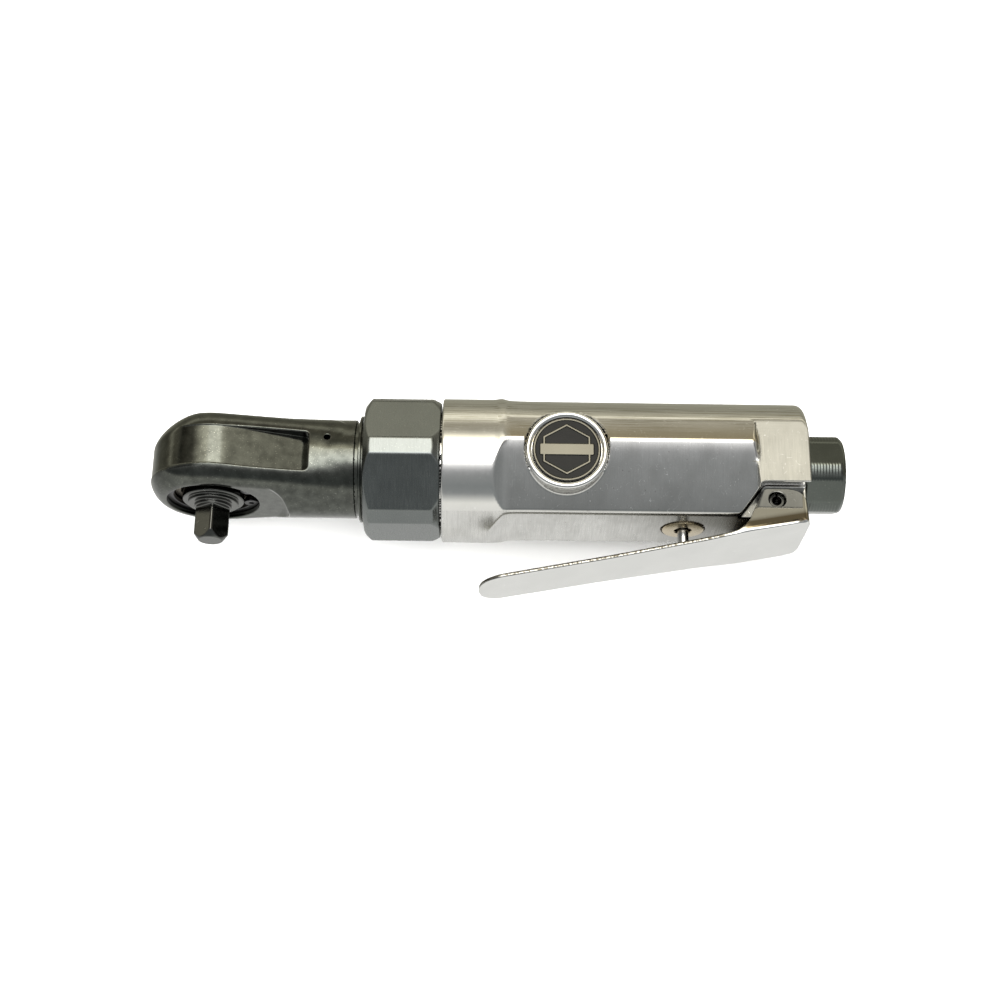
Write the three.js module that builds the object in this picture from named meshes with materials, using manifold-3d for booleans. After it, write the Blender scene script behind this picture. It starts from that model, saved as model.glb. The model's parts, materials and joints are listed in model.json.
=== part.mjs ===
// Pneumatic ratchet wrench with a 1/4 inch square drive, in millimetres, +Z up.
// The tool lies on its side: +X runs from the ratchet head to the air inlet, -Y is the
// socket side and +Z is the badge side. The origin is the centre of the square's end face.
// Inside the `tool` group the origin is where the drive axis meets the barrel axis.
import * as THREE from 'three';
import { mergeVertices } from 'three/addons/utils/BufferGeometryUtils.js';
import { ConvexGeometry } from 'three/addons/geometries/ConvexGeometry.js';
import Module from 'manifold-3d';

const wasm = await Module();
wasm.setup();

// Driving dimensions.
const GAP = 0.3;                    // between neighbouring pieces
const SQUARE_DRIVE = 6.35;          // across flats
const SQUARE_CORNER_RADIUS = 4.25;  // of the rounded corners
const SQUARE_TURN = 7;              // degrees that one corner stands off +Z
const DRIVE_REACH = 19.6;           // barrel axis to the square's end face
const HEAD_RADIUS = 16.0;           // about the drive axis
const HEAD_FRONT_Y = -9.4;          // milled face on the socket side
const HEAD_BACK_Y = 10.2;           // milled face on the knob side
const HEAD_BORE_RADIUS = 11.5;
const NECK_RADIUS = 12.4;
const NECK_END_X = 35.8;
const NUT_FRONT_X = 38.0;
const NUT_REAR_X = 57.0;
const NUT_CORNER_RADIUS = 18.0;
const NUT_TURN = -2;                // degrees from +Z to the middle of a corner land
const BARREL_RADIUS = 18.1;
const BARREL_BORE_RADIUS = 12.6;
const BARREL_START_X = 51.0;        // front face of the spigot inside the nut
const COLLAR_START_X = 57.4;
const RUN_OUT_X = 69.0;             // where the ramps from the collar down to the flats begin
const FLATS_START_X = 72.9;
const FLATS_END_X = 133.9;
const BARREL_END_X = 147.5;
const GRIP_BACK_RADIUS = 17.8;      // the round back of the grip
const GRIP_BACK_HALF_ANGLE = 63.2;  // degrees from +Y to where the side flats begin
const GRIP_RIDGE = [1.48, 18.04];   // [y, z] of the ridge along each side
const GRIP_FLOOR_CORNER = [-14.92, 10.25];
const BADGE_X = 88.0;
const BADGE_Y = -0.4;
const BADGE_BOSS_Z = 15.2;
const PAD_Z = 16.15;                // flat cheeks beside the lever pivot
const TONGUE_HALF = 8.4;            // the tongue that the lever's ears straddle
const GRIP_FLOOR_Y = GRIP_FLOOR_CORNER[0];
const PIVOT_X = 139.8;
const PIVOT_Y = -10.6;
const LEVER_TIP_X = 67.1;
const LEVER_TIP_Y = -32.1;
const LEVER_SLOPE = 0.189;
const LEVER_SHEET = 1.2;
const LEVER_REAR_X = 147.4;
const STEM_X = 117.6;
const CRANK_THROW = 1.1;
const GEAR_MODULE = 0.5;
const SUN_TEETH = 10;
const PLANET_TEETH = 14;
const RING_TEETH = 38;
const PLANET_ORBIT = GEAR_MODULE * (SUN_TEETH + PLANET_TEETH) / 2;
const PLANET_COUNT = 3;
const VANE_COUNT = 5;
const ROTOR_RADIUS = 8.8;
const LINER_OFFSET = 0.85;          // of the liner's bore from the rotor's axis
const YOKE_TEETH = 40;
const PAWL_X = 5.6;                 // pawl pivot from the drive axis
const PAWL_ROCK = 5;                // degrees either side of the middle
const KNOB_TURN = 15;               // degrees either side of the middle
const INLET_FLAT = 9.5;             // half of 19 mm across flats
const INLET_LAND_RADIUS = 9.9;

const FINISH = {
  castAluminium: { color: 0xb9b8b2, metalness: 0.9, roughness: 0.32 },
  blackOxide: { color: 0x45473f, metalness: 0.8, roughness: 0.5 },
  darkNut: { color: 0x4c5358, metalness: 0.85, roughness: 0.38 },
  nickel: { color: 0xc9c7c0, metalness: 1.0, roughness: 0.18 },
  steel: { color: 0x9a9c9e, metalness: 1.0, roughness: 0.3 },
  hardSteel: { color: 0x7d7f82, metalness: 1.0, roughness: 0.35 },
  springSteel: { color: 0x5f6163, metalness: 1.0, roughness: 0.4 },
  bronze: { color: 0x9a7a4a, metalness: 1.0, roughness: 0.35 },
  brass: { color: 0xb08d4f, metalness: 1.0, roughness: 0.3 },
  phenolic: { color: 0x6b4a2a, metalness: 0.0, roughness: 0.6 },
  rubber: { color: 0x1b1b1c, metalness: 0.0, roughness: 0.8 },
  darkPlate: { color: 0x2c2f31, metalness: 0.5, roughness: 0.4 },
};

// ---- Solids ----------------------------------------------------------------------------

const radians = (degrees) => degrees * Math.PI / 180;

// A closed geometry as a solid, with its faces turned to point out.
function solid(geometry) {
  const bare = geometry.clone();
  bare.deleteAttribute('normal');
  bare.deleteAttribute('uv');
  const merged = mergeVertices(bare);
  const position = merged.attributes.position;
  const corner = [0, 1, 2].map(() => new THREE.Vector3());
  const triangles = [];
  let sixVolumes = 0;
  for (let i = 0; i < merged.index.count; i += 3) {
    const at = [0, 1, 2].map((k) => merged.index.getX(i + k));
    if (at[0] === at[1] || at[1] === at[2] || at[2] === at[0]) continue;
    at.forEach((vertex, k) => corner[k].fromBufferAttribute(position, vertex));
    sixVolumes += corner[0].dot(corner[1].cross(corner[2]));
    triangles.push(...at);
  }
  if (sixVolumes < 0) triangles.reverse();
  const mesh = { numProp: 3, vertProperties: position.array, triVerts: new Uint32Array(triangles) };
  return new wasm.Manifold(new wasm.Mesh(mesh));
}

const asSolid = (shape) => (shape.isBufferGeometry ? solid(shape) : shape);
const join = (first, ...rest) => rest.reduce((whole, piece) => whole.add(asSolid(piece)), asSolid(first));
const cut = (body, ...tools) => tools.reduce((whole, tool) => whole.subtract(asSolid(tool)), asSolid(body));
const common = (first, second) => asSolid(first).intersect(asSolid(second));

function geometryOf(shape) {
  const { vertProperties, triVerts } = asSolid(shape).getMesh();
  const geometry = new THREE.BufferGeometry();
  geometry.setAttribute('position', new THREE.BufferAttribute(vertProperties, 3));
  geometry.setIndex(new THREE.BufferAttribute(triVerts, 1));
  geometry.computeVertexNormals();
  return geometry;
}

// ---- Outlines and basic shapes -----------------------------------------------------------

const polar = (radius, degrees, centre = [0, 0]) =>
  [centre[0] + radius * Math.cos(radians(degrees)), centre[1] + radius * Math.sin(radians(degrees))];

// Points on an arc, from one angle in degrees to another.
const arc = (centre, radius, from, to, steps) =>
  Array.from({ length: steps + 1 }, (_, i) => polar(radius, from + (to - from) * i / steps, centre));

const circle = (radius, sides, centre = [0, 0]) => arc(centre, radius, 0, 360, sides).slice(0, sides);
const rectangle = (a0, a1, b0, b1) => [[a0, b0], [a1, b0], [a1, b1], [a0, b1]];

// Where an outline's two axes and its depth go: x takes (y, z), y takes (x, z), z takes (x, y).
const X_AXIS = new THREE.Vector3(1, 0, 0);
const Y_AXIS = new THREE.Vector3(0, 1, 0);
const Z_AXIS = new THREE.Vector3(0, 0, 1);
const OUTLINE_BASIS = {
  x: new THREE.Matrix4().makeBasis(Y_AXIS, Z_AXIS, X_AXIS),
  y: new THREE.Matrix4().makeBasis(X_AXIS, Z_AXIS, Y_AXIS),
  z: new THREE.Matrix4(),
};

function slab(axis, outline, from, to, holes = []) {
  const shape = new THREE.Shape(outline.map(([a, b]) => new THREE.Vector2(a, b)));
  shape.holes = holes.map((hole) => new THREE.Path(hole.map(([a, b]) => new THREE.Vector2(a, b))));
  const geometry = new THREE.ExtrudeGeometry(shape, { depth: to - from, bevelEnabled: false });
  return geometry.translate(0, 0, from).applyMatrix4(OUTLINE_BASIS[axis]);
}

// A turned shape. Each profile point is [radius, distance along the axis].
function turned(axis, profile, sides = 24) {
  const closed = profile[0][0] === 0 ? profile : [...profile, profile[0]];
  const geometry = new THREE.LatheGeometry(closed.map(([r, h]) => new THREE.Vector2(r, h)), sides);
  if (axis === 'x') geometry.rotateZ(-Math.PI / 2);
  if (axis === 'z') geometry.rotateX(Math.PI / 2);
  return geometry;
}

const rod = (axis, radius, from, to, sides = 20) =>
  turned(axis, [[0, from], [radius, from], [radius, to], [0, to]], sides);
const ring = (axis, outer, inner, from, to, sides = 24) =>
  turned(axis, [[inner, from], [outer, from], [outer, to], [inner, to]], sides);

// A coil spring of round wire about the X axis.
function coil(radius, wire, from, to, turns) {
  const stepsPerTurn = 8;
  const points = Array.from({ length: turns * stepsPerTurn + 1 }, (_, i) => {
    const angle = 2 * Math.PI * i / stepsPerTurn;
    const x = from + wire + (to - from - 2 * wire) * i / (turns * stepsPerTurn);
    return new THREE.Vector3(x, radius * Math.cos(angle), radius * Math.sin(angle));
  });
  const section = new THREE.Shape(circle(wire, 5).map(([a, b]) => new THREE.Vector2(a, b)));
  const path = new THREE.CatmullRomCurve3(points);
  return new THREE.ExtrudeGeometry(section, { steps: points.length - 1, bevelEnabled: false, extrudePath: path });
}

// Straight-flanked gear teeth with backlash; `side` is 1 for outside teeth, -1 for inside teeth.
function gearTeeth(teeth, side, turn) {
  const pitchRadius = GEAR_MODULE * teeth / 2;
  const tipRadius = pitchRadius + side * 0.75 * GEAR_MODULE;
  const rootRadius = pitchRadius - side * 1.2 * GEAR_MODULE;
  const tipHalf = 0.22 * GEAR_MODULE / tipRadius;
  const rootHalf = 0.9 * GEAR_MODULE / rootRadius;
  const outline = [];
  for (let tooth = 0; tooth < teeth; tooth += 1) {
    const middle = radians(turn) + 2 * Math.PI * tooth / teeth;
    const corners = [[rootRadius, -rootHalf], [tipRadius, -tipHalf], [tipRadius, tipHalf], [rootRadius, rootHalf]];
    corners.forEach(([r, off]) => outline.push([r * Math.cos(middle + off), r * Math.sin(middle + off)]));
  }
  return outline;
}

// ---- The scene graph ---------------------------------------------------------------------

const model = new THREE.Group();
const tool = new THREE.Group();
tool.position.y = DRIVE_REACH;
model.add(tool);

function addPiece(name, finish, shape, place = () => {}) {
  const mesh = new THREE.Mesh(geometryOf(shape), new THREE.MeshStandardMaterial(FINISH[finish]));
  mesh.material.flatShading = true;
  mesh.name = name;
  place(mesh);
  tool.add(mesh);
}

// ---- Ratchet head ------------------------------------------------------------------------

const SNAP_GROOVE = { from: -8.15, to: -6.8, radius: 12.3 };
const FORK_CAVITY = { length: 17.5, halfHeight: 4.9, halfWidth: 8.6 };
const FLAT_MILL_RADIUS = 18.3;      // the cutter's sweep about the drive axis
const NECK_BLEND_X = 22.0;

function headHousing() {
  const nose = [[0, HEAD_FRONT_Y], [12.6, HEAD_FRONT_Y], [14.6, -7.6], [15.8, -5], [HEAD_RADIUS, 0],
    [15.8, 5], [14.4, 8.2], [12.2, HEAD_BACK_Y], [0, HEAD_BACK_Y]];
  const hull = [];
  nose.forEach(([r, y]) => circle(r, 28).forEach(([x, z]) => hull.push(new THREE.Vector3(x, y, z))));
  circle(NECK_RADIUS, 24).forEach(([y, z]) => hull.push(new THREE.Vector3(NECK_BLEND_X, y, z)));
  const neck = turned('x', [[0, 20], [NECK_RADIUS, 20], [NECK_RADIUS, NECK_END_X], [11.8, NECK_END_X],
    [11.8, NUT_FRONT_X - 0.1], [NECK_RADIUS, NUT_FRONT_X - 0.1], [NECK_RADIUS, 46], [14.3, 46],
    [14.3, 50.4], [0, 50.4]]);
  const sideRecess = [[5.0, 15.2], [23.2, 9.2], [23.2, 20], [5.0, 20]];
  const crankBore = turned('x', [[0, 10], [5.6, 10], [5.6, 22], [7.6, 22], [7.6, 42], [10.4, 42],
    [10.4, 52], [0, 52]]);
  const driveBore = turned('y', [[0, -12], [HEAD_BORE_RADIUS, -12], [HEAD_BORE_RADIUS, 6.5], [5.2, 6.5],
    [5.2, 8.5], [7.2, 8.5], [7.2, 12], [0, 12]]);
  const oilHole = rod('z', 0.8, 5, 14, 10).rotateX(radians(-17.6)).translate(28.1, 0, 0);
  return cut(
    join(new ConvexGeometry(hull), neck),
    rod('y', FLAT_MILL_RADIUS, -20, HEAD_FRONT_Y, 40),
    rod('y', FLAT_MILL_RADIUS, HEAD_BACK_Y, 20, 40),
    slab('y', sideRecess, -5, 5),
    slab('y', sideRecess.map(([x, z]) => [x, -z]), -5, 5),
    driveBore,
    rod('y', SNAP_GROOVE.radius, SNAP_GROOVE.from, SNAP_GROOVE.to, 32),
    slab('y', rectangle(0, FORK_CAVITY.length, -FORK_CAVITY.halfWidth, FORK_CAVITY.halfWidth),
      -FORK_CAVITY.halfHeight, FORK_CAVITY.halfHeight),
    crankBore,
    oilHole,
  );
}
addPiece('head_housing', 'blackOxide', headHousing());

// An internal retaining ring: open at one side, with a lug and a plier hole at each end.
function headSnapRing() {
  const gap = 16;
  const outline = [...arc([0, 0], 12.1, gap, 360 - gap, 28), ...arc([0, 0], 9.9, 360 - gap, gap, 28)];
  const lugs = [-1, 1].map((side) => {
    const centre = polar(9.9, side * (gap + 8));
    return { body: circle(1.9, 12, centre), hole: circle(0.65, 8, centre) };
  });
  const top = SNAP_GROOVE.to - 0.15;
  const bottom = SNAP_GROOVE.from + 0.15;
  const blank = join(slab('y', outline, bottom, top), ...lugs.map((lug) => slab('y', lug.body, bottom, top)));
  return cut(blank, ...lugs.map((lug) => slab('y', lug.hole, bottom - 1, top + 1)));
}
addPiece('head_snap_ring', 'springSteel', headSnapRing());

addPiece('anvil_thrust_washer', 'bronze', ring('y', 11.2, 8.1, -6.65, -5.55));

// The reciprocating yoke: a ring of inside ratchet teeth with a fork around the crank's bushing.
function ratchetYoke() {
  const teeth = [];
  for (let tooth = 0; tooth < YOKE_TEETH; tooth += 1) {
    const middle = 360 * tooth / YOKE_TEETH;
    const corners = [[9.2, -3.4], [8.4, -0.7], [8.4, 0.7], [9.2, 3.4]];
    corners.forEach(([r, off]) => teeth.push(polar(r, middle + off)));
  }
  const prong = (side) => slab('y', rectangle(8.8, 16.5, side * 5.15, side * 6.95), -3.6, 3.6);
  return join(slab('y', circle(10.9, 36), -4.2, 4.2, [teeth]), prong(1), prong(-1));
}
addPiece('ratchet_yoke', 'hardSteel', ratchetYoke());

const PAWL_SLOT = { x: 2.9, halfWidth: 6.5, halfHeight: 3.2 };
const KNOB_BORE_RADIUS = 3.2;
const DETENT_Y = -15.6;
const DETENT_TURN = SQUARE_TURN + 135;  // faces stand at 45 degrees to the corners, away from +Z

function anvil() {
  const body = [[0, -11.4], [4.25, -11.4], [4.65, -11.0], [4.65, -10.0], [6.3, -10.0], [6.3, -9.4],
    [7.4, -9.1], [7.7, -8.8], [7.7, -5.25], [10.2, -5.25], [10.2, -4.5], [7.7, -4.5], [7.7, 5.9],
    [4.9, 5.9], [4.9, 8.3], [0, 8.3]];
  const rounded = [[0, -DRIVE_REACH], [3.8, -DRIVE_REACH], [SQUARE_CORNER_RADIUS, -19.1],
    [SQUARE_CORNER_RADIUS, -11], [0, -11]];
  const half = SQUARE_DRIVE / 2;
  const square = common(
    slab('y', rectangle(-half, half, -half, half), -DRIVE_REACH - 1, -11).rotateY(radians(45 + SQUARE_TURN)),
    turned('y', rounded, 32),
  );
  return cut(
    join(turned('y', body), square),
    rod('y', KNOB_BORE_RADIUS, -3.2, 9),
    slab('y', rectangle(PAWL_SLOT.x, 9, -PAWL_SLOT.halfWidth, PAWL_SLOT.halfWidth),
      -PAWL_SLOT.halfHeight, PAWL_SLOT.halfHeight),
    rod('y', 1.35, -4.9, 6.5, 14).translate(PAWL_X, 0, 0),
    rod('z', 1.4, -1.8, 5, 14).rotateY(radians(DETENT_TURN)).translate(0, DETENT_Y, 0),
  );
}
addPiece('anvil', 'steel', anvil());

// A rocking pawl with three teeth at each end, standing with one end forward.
function pawl() {
  const outline = [];
  const end = (side) => {
    for (let tooth = 0; tooth < 3; tooth += 1) {
      const middle = 46 - 9 * tooth;
      const corners = [[7.05, 4.2], [7.75, 1.2], [7.75, -1.2], [7.05, -4.2]];
      corners.forEach(([r, off]) => outline.push(polar(r, side * (middle + off))));
    }
  };
  end(1);
  outline.push(...arc([0, 0], 7.7, 22, -22, 6));
  const upper = outline.slice(0, 12).map(([x, z]) => [x, -z]).reverse();
  outline.push(...upper, [3.6, -5.2], [3.6, 5.2]);
  const body = slab('y', outline, -2.9, 2.9, [circle(1.35, 14, [PAWL_X, 0])]);
  return body.translate(-PAWL_X, 0, 0).rotateY(radians(PAWL_ROCK));
}
addPiece('pawl', 'hardSteel', pawl(), (mesh) => mesh.position.set(PAWL_X, 0, 0));
addPiece('pawl_pin', 'steel', rod('y', 1.2, -4.6, 5.7, 14), (mesh) => mesh.position.set(PAWL_X, 0, 0));

// The reversing knob's stem carries a sprung plunger that tips the pawl.
function reverseKnob() {
  const stem = turned('y', [[0, -2.9], [2.9, -2.9], [2.9, 8.7], [6.3, 8.7], [6.8, 9.2], [6.8, 10.2],
    [6.4, 10.6], [0, 10.6]]);
  const grip = slab('y', [...arc([4.4, 0], 1.5, -90, 90, 5), ...arc([-4.4, 0], 1.5, 90, 270, 5)], 10.4, 11.5);
  return cut(join(stem, grip), rod('x', 1.15, -1.8, 4, 12));
}
const faceThePawl = (mesh) => { mesh.rotation.y = radians(-KNOB_TURN); };
const plunger = turned('x', [[0, 0.5], [0.85, 0.5], [0.85, 2.9], [0.5, 3.3], [0, 3.4]], 12);
addPiece('reverse_knob', 'blackOxide', reverseKnob(), faceThePawl);
addPiece('pawl_plunger', 'steel', plunger, faceThePawl);
addPiece('pawl_plunger_spring', 'springSteel', coil(0.6, 0.16, -1.6, 0.3, 3), faceThePawl);

const faceTheDetent = (mesh) => {
  mesh.rotation.y = radians(DETENT_TURN) - Math.PI / 2;
  mesh.position.y = DETENT_Y;
};
const detentBall = new THREE.SphereGeometry(1.2, 14, 10).translate(2.35, 0, 0);
addPiece('socket_ball', 'steel', detentBall, faceTheDetent);
addPiece('socket_ball_spring', 'springSteel', coil(0.7, 0.18, -1.6, 0.45, 3), faceTheDetent);

// ---- Crank and planetary reduction -------------------------------------------------------

const PIN_ANGLES = Array.from({ length: PLANET_COUNT }, (_, i) => 90 + i * 360 / PLANET_COUNT);
const atPlanet = (angle) => (mesh) => {
  mesh.position.y = PLANET_ORBIT * Math.cos(radians(angle));
  mesh.position.z = PLANET_ORBIT * Math.sin(radians(angle));
};

function crankshaft() {
  const shaft = turned('x', [[0, 17.5], [5.0, 17.5], [5.0, 34.3], [6.9, 34.3], [6.9, 42.7], [9.8, 42.7],
    [9.8, 49.6], [8.4, 49.6], [8.4, 51.5], [0, 51.5]]);
  const pinHoles = PIN_ANGLES.map((angle) => {
    const [y, z] = polar(PLANET_ORBIT, angle);
    return rod('x', 1.5, 45.2, 52, 12).translate(0, y, z);
  });
  return cut(join(shaft, rod('x', 1.45, 11.4, 18, 16).translate(0, CRANK_THROW, 0)), ...pinHoles);
}
addPiece('crankshaft', 'steel', crankshaft());
addPiece('drive_bushing', 'bronze', ring('x', 2.7, 1.7, 11.8, 16.8, 20), (mesh) => { mesh.position.y = CRANK_THROW; });
addPiece('neck_bearing', 'hardSteel', ring('x', 7.35, 5.3, 22.3, 34.0, 28));

PIN_ANGLES.forEach((angle, i) => {
  const turn = (angle * SUN_TEETH + (angle + 180) * PLANET_TEETH - 180) / PLANET_TEETH;
  const gear = slab('x', gearTeeth(PLANET_TEETH, 1, turn), 51.9, 58.4, [circle(1.5, 12)]);
  addPiece(`planet_pin_${i + 1}`, 'steel', rod('x', 1.2, 45.5, 59.0, 12), atPlanet(angle));
  addPiece(`planet_gear_${i + 1}`, 'hardSteel', gear, atPlanet(angle));
});

addPiece('ring_gear', 'hardSteel',
  slab('x', circle(BARREL_BORE_RADIUS - GAP, 38), 51.2, 59.6, [gearTeeth(RING_TEETH, -1, 0)]));

// ---- Clamp nut ---------------------------------------------------------------------------

// A hexagon with each corner cut to a narrow land, as [y, z] points.
function hexagonWithLands(cornerRadius, turn, landHalfAngle) {
  const points = [];
  for (let corner = 0; corner < 6; corner += 1) {
    const middle = 90 - turn - 60 * corner;
    points.push(polar(cornerRadius, middle + landHalfAngle));
    points.push(polar(cornerRadius, middle - landHalfAngle));
  }
  return points;
}

function clampNut() {
  const hexagon = slab('x', hexagonWithLands(NUT_CORNER_RADIUS, NUT_TURN, 6.75), NUT_FRONT_X, NUT_REAR_X);
  const chamfers = turned('x', [[0, NUT_FRONT_X], [15.9, NUT_FRONT_X], [18.6, 40.1], [18.6, 55.9],
    [16.4, NUT_REAR_X], [0, NUT_REAR_X]], 36);
  const bore = turned('x', [[0, 37], [NECK_RADIUS + 0.4, 37], [NECK_RADIUS + 0.4, 45.7], [14.7, 45.7],
    [14.7, 58], [0, 58]]);
  return cut(common(hexagon, chamfers), bore);
}
addPiece('clamp_nut', 'darkNut', clampNut());
addPiece('nut_retaining_ring', 'nickel', ring('x', 13.6, 12.1, 36.6, 37.7));

// ---- Motor housing -----------------------------------------------------------------------

const THROTTLE_AXIS_RADIUS = 4.5;
const CHAMBER_RADIUS = 6.9;
const INLET_THREAD_BORE = 7.3;
const EXHAUST_ANGLES = [35, 62, 90, 118, 145];  // degrees from +Z to +Y, above the throttle chamber
const EXHAUST_ORBIT = 11.0;

// The grip has a round back, a ridge along each side, and flats from the ridges to a flat floor.
function motorHousing() {
  const lower = [GRIP_RIDGE, GRIP_FLOOR_CORNER];
  const outline = [...arc([0, 0], GRIP_BACK_RADIUS, -GRIP_BACK_HALF_ANGLE, GRIP_BACK_HALF_ANGLE, 12), ...lower,
    ...lower.map(([y, z]) => [y, -z]).reverse()];
  const grip = slab('x', outline, FLATS_START_X, FLATS_END_X);
  const spread = 1.18;
  const rampEnds = outline.flatMap(([y, z]) => [new THREE.Vector3(RUN_OUT_X, spread * y, spread * z),
    new THREE.Vector3(FLATS_START_X, y, z)]);
  const ramps = common(new ConvexGeometry(rampEnds), rod('x', BARREL_RADIUS, RUN_OUT_X, FLATS_START_X, 32));
  const frontCollar = turned('x', [[0, BARREL_START_X], [14.4, BARREL_START_X], [14.4, COLLAR_START_X],
    [17.7, COLLAR_START_X], [BARREL_RADIUS, COLLAR_START_X + 0.4], [BARREL_RADIUS, RUN_OUT_X],
    [0, RUN_OUT_X]], 32);
  const rearCollar = turned('x', [[0, FLATS_END_X], [GRIP_BACK_RADIUS, FLATS_END_X],
    [GRIP_BACK_RADIUS, BARREL_END_X - 0.6], [17.2, BARREL_END_X], [0, BARREL_END_X]], 32);
  const boss = turned('z', [[0, 0], [10.6, 0], [10.3, BADGE_BOSS_Z], [0, BADGE_BOSS_Z]], 28);
  const spotFace = rod('z', 10.4, BADGE_BOSS_Z, 25, 28);

  const pocketSide = [[122.7, -25], [130.4, GRIP_FLOOR_Y], [135.6, -8.15], [138.0, -5], [150, -5], [150, -25]];
  const pocketSection = (side) => [[-6.3, side * TONGUE_HALF], [-8.15, side * PAD_Z], [-8.15, side * 25],
    [-25, side * 25], [-25, side * TONGUE_HALF]];
  const earPocket = (side) => common(slab('z', pocketSide, -25, 25), slab('x', pocketSection(side), 120, 150));
  const cheek = (side) => slab('x', rectangle(-25, 25, side * PAD_Z, side * 25), FLATS_END_X, 150);
  const exhaust = EXHAUST_ANGLES.map((angle) => {
    const [y, z] = polar(EXHAUST_ORBIT, 90 - angle);
    return rod('x', 1.5, 103, 149, 10).translate(0, y, z);
  });
  const airWay = turned('x', [[0, 103], [2.0, 103], [2.0, 108], [THROTTLE_AXIS_RADIUS, 108],
    [THROTTLE_AXIS_RADIUS, 128.3], [CHAMBER_RADIUS, 128.3], [CHAMBER_RADIUS, 139.5],
    [INLET_THREAD_BORE, 139.5], [INLET_THREAD_BORE, 149], [0, 149]], 24);
  const stemBore = turned('y', [[0, -16], [5.5, -16], [5.5, -14.0], [3.7, -14.0], [3.7, -2], [0, -2]], 24);
  return cut(
    join(grip, ramps, frontCollar, rearCollar, boss.translate(BADGE_X, BADGE_Y, 0)),
    spotFace.translate(BADGE_X, BADGE_Y, 0),
    rod('x', BARREL_BORE_RADIUS, 50, 104, 32),
    slab('x', rectangle(-25, GRIP_FLOOR_Y, -25, 25), 120, 150),
    earPocket(1),
    earPocket(-1),
    cheek(1),
    cheek(-1),
    ...exhaust,
    airWay,
    stemBore.translate(STEM_X, 0, 0),
    rod('z', 2.15, -12, 12, 16).translate(PIVOT_X, PIVOT_Y, 0),
  );
}
addPiece('motor_housing', 'castAluminium', motorHousing());

const atBadge = (mesh) => mesh.position.set(BADGE_X, BADGE_Y, 0);
addPiece('name_bezel', 'nickel', turned('z', [[8.65, 15.45], [9.9, 15.45], [10.1, 15.7], [10.1, 16.1],
  [9.7, 16.45], [9.2, 16.45], [8.65, 16.15]], 28), atBadge);
addPiece('name_plate', 'darkPlate', turned('z', [[0, 15.45], [8.45, 15.45], [8.45, 16.0], [0, 16.15]], 28), atBadge);

// ---- Vane motor --------------------------------------------------------------------------

const PLATE_RADIUS = BARREL_BORE_RADIUS - GAP;
const LINER = { from: 65.5, to: 96.5, bore: 10.0 };
const DOWEL_Y = 10.72;

addPiece('front_end_plate', 'steel', turned('x', [[6.8, 60.1], [PLATE_RADIUS, 60.1], [PLATE_RADIUS, 65.1],
  [4.0, 65.1], [4.0, 64.2], [6.8, 64.2]]));
addPiece('front_bearing', 'hardSteel', ring('x', 6.5, 2.7, 60.3, 63.9, 24));
addPiece('rear_bearing', 'hardSteel', ring('x', 6.5, 2.7, 98.1, 101.6, 24));

function rearEndPlate() {
  const plate = turned('x', [[4.0, 96.8], [PLATE_RADIUS, 96.8], [PLATE_RADIUS, 101.8], [6.8, 101.8],
    [6.8, 97.8], [4.0, 97.8]]);
  const airPort = rod('x', 1.1, 96, 103, 10).translate(0, -9.2, 0);
  return cut(plate, airPort, rod('x', 1.05, 96, 103, 10).translate(0, DOWEL_Y, 0));
}
addPiece('rear_end_plate', 'steel', rearEndPlate());

function cylinderLiner() {
  const sleeve = slab('x', circle(PLATE_RADIUS, 32), LINER.from, LINER.to,
    [circle(LINER.bore, 36, [-LINER_OFFSET, 0])]);
  const ports = [74, 80, 86].map((x) => rod('z', 1.1, 5, 14, 8).translate(x, 0, 0));
  return cut(sleeve, rod('x', 1.05, 91, 97, 10).translate(0, DOWEL_Y, 0), ...ports);
}
addPiece('cylinder_liner', 'hardSteel', cylinderLiner());
addPiece('cylinder_dowel', 'steel', rod('x', 0.75, 91.4, 101.6, 10), (mesh) => { mesh.position.y = DOWEL_Y; });

function rotor() {
  const shaft = turned('x', [[0, 59.0], [2.4, 59.0], [2.4, 65.6], [ROTOR_RADIUS, 65.6], [ROTOR_RADIUS, 96.4],
    [2.4, 96.4], [2.4, 101.5], [0, 101.5]], 25);
  const pinion = slab('x', gearTeeth(SUN_TEETH, 1, 0), 51.9, 59.2);
  const slots = Array.from({ length: VANE_COUNT }, (_, i) =>
    slab('x', rectangle(4.0, 10, -0.75, 0.75), 65, 97).rotateX(2 * Math.PI * i / VANE_COUNT));
  return cut(join(shaft, pinion), ...slots);
}
addPiece('rotor', 'steel', rotor());
for (let i = 0; i < VANE_COUNT; i += 1) {
  addPiece(`vane_${i + 1}`, 'phenolic', slab('x', rectangle(4.3, 9.0, -0.5, 0.5), 65.9, 96.1),
    (mesh) => { mesh.rotation.x = 2 * Math.PI * i / VANE_COUNT; });
}

// ---- Throttle ----------------------------------------------------------------------------

const atStem = (mesh) => { mesh.position.x = STEM_X; };
addPiece('valve_bushing', 'bronze', turned('y', [[2.15, -15.4], [4.9, -15.4], [5.2, -15.15], [5.2, -14.3],
  [3.4, -14.3], [3.4, -5.0], [2.75, -5.0], [2.75, -7.4], [1.75, -7.4], [1.75, -12.5], [2.15, -12.8]], 18), atStem);
addPiece('stem_o_ring', 'rubber', turned('y', circle(0.4, 6, [2.15, -6.2]), 16), atStem);
addPiece('valve_stem', 'steel', turned('y', [[0, -20.9], [0.7, -20.75], [1.2, -20.3], [1.4, -19.6],
  [1.4, -4.5], [2.1, -4.3], [2.1, -3.5], [1.4, -3.3], [1.4, -2.9], [1.0, -2.45], [0, -2.35]], 14), atStem);

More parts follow.
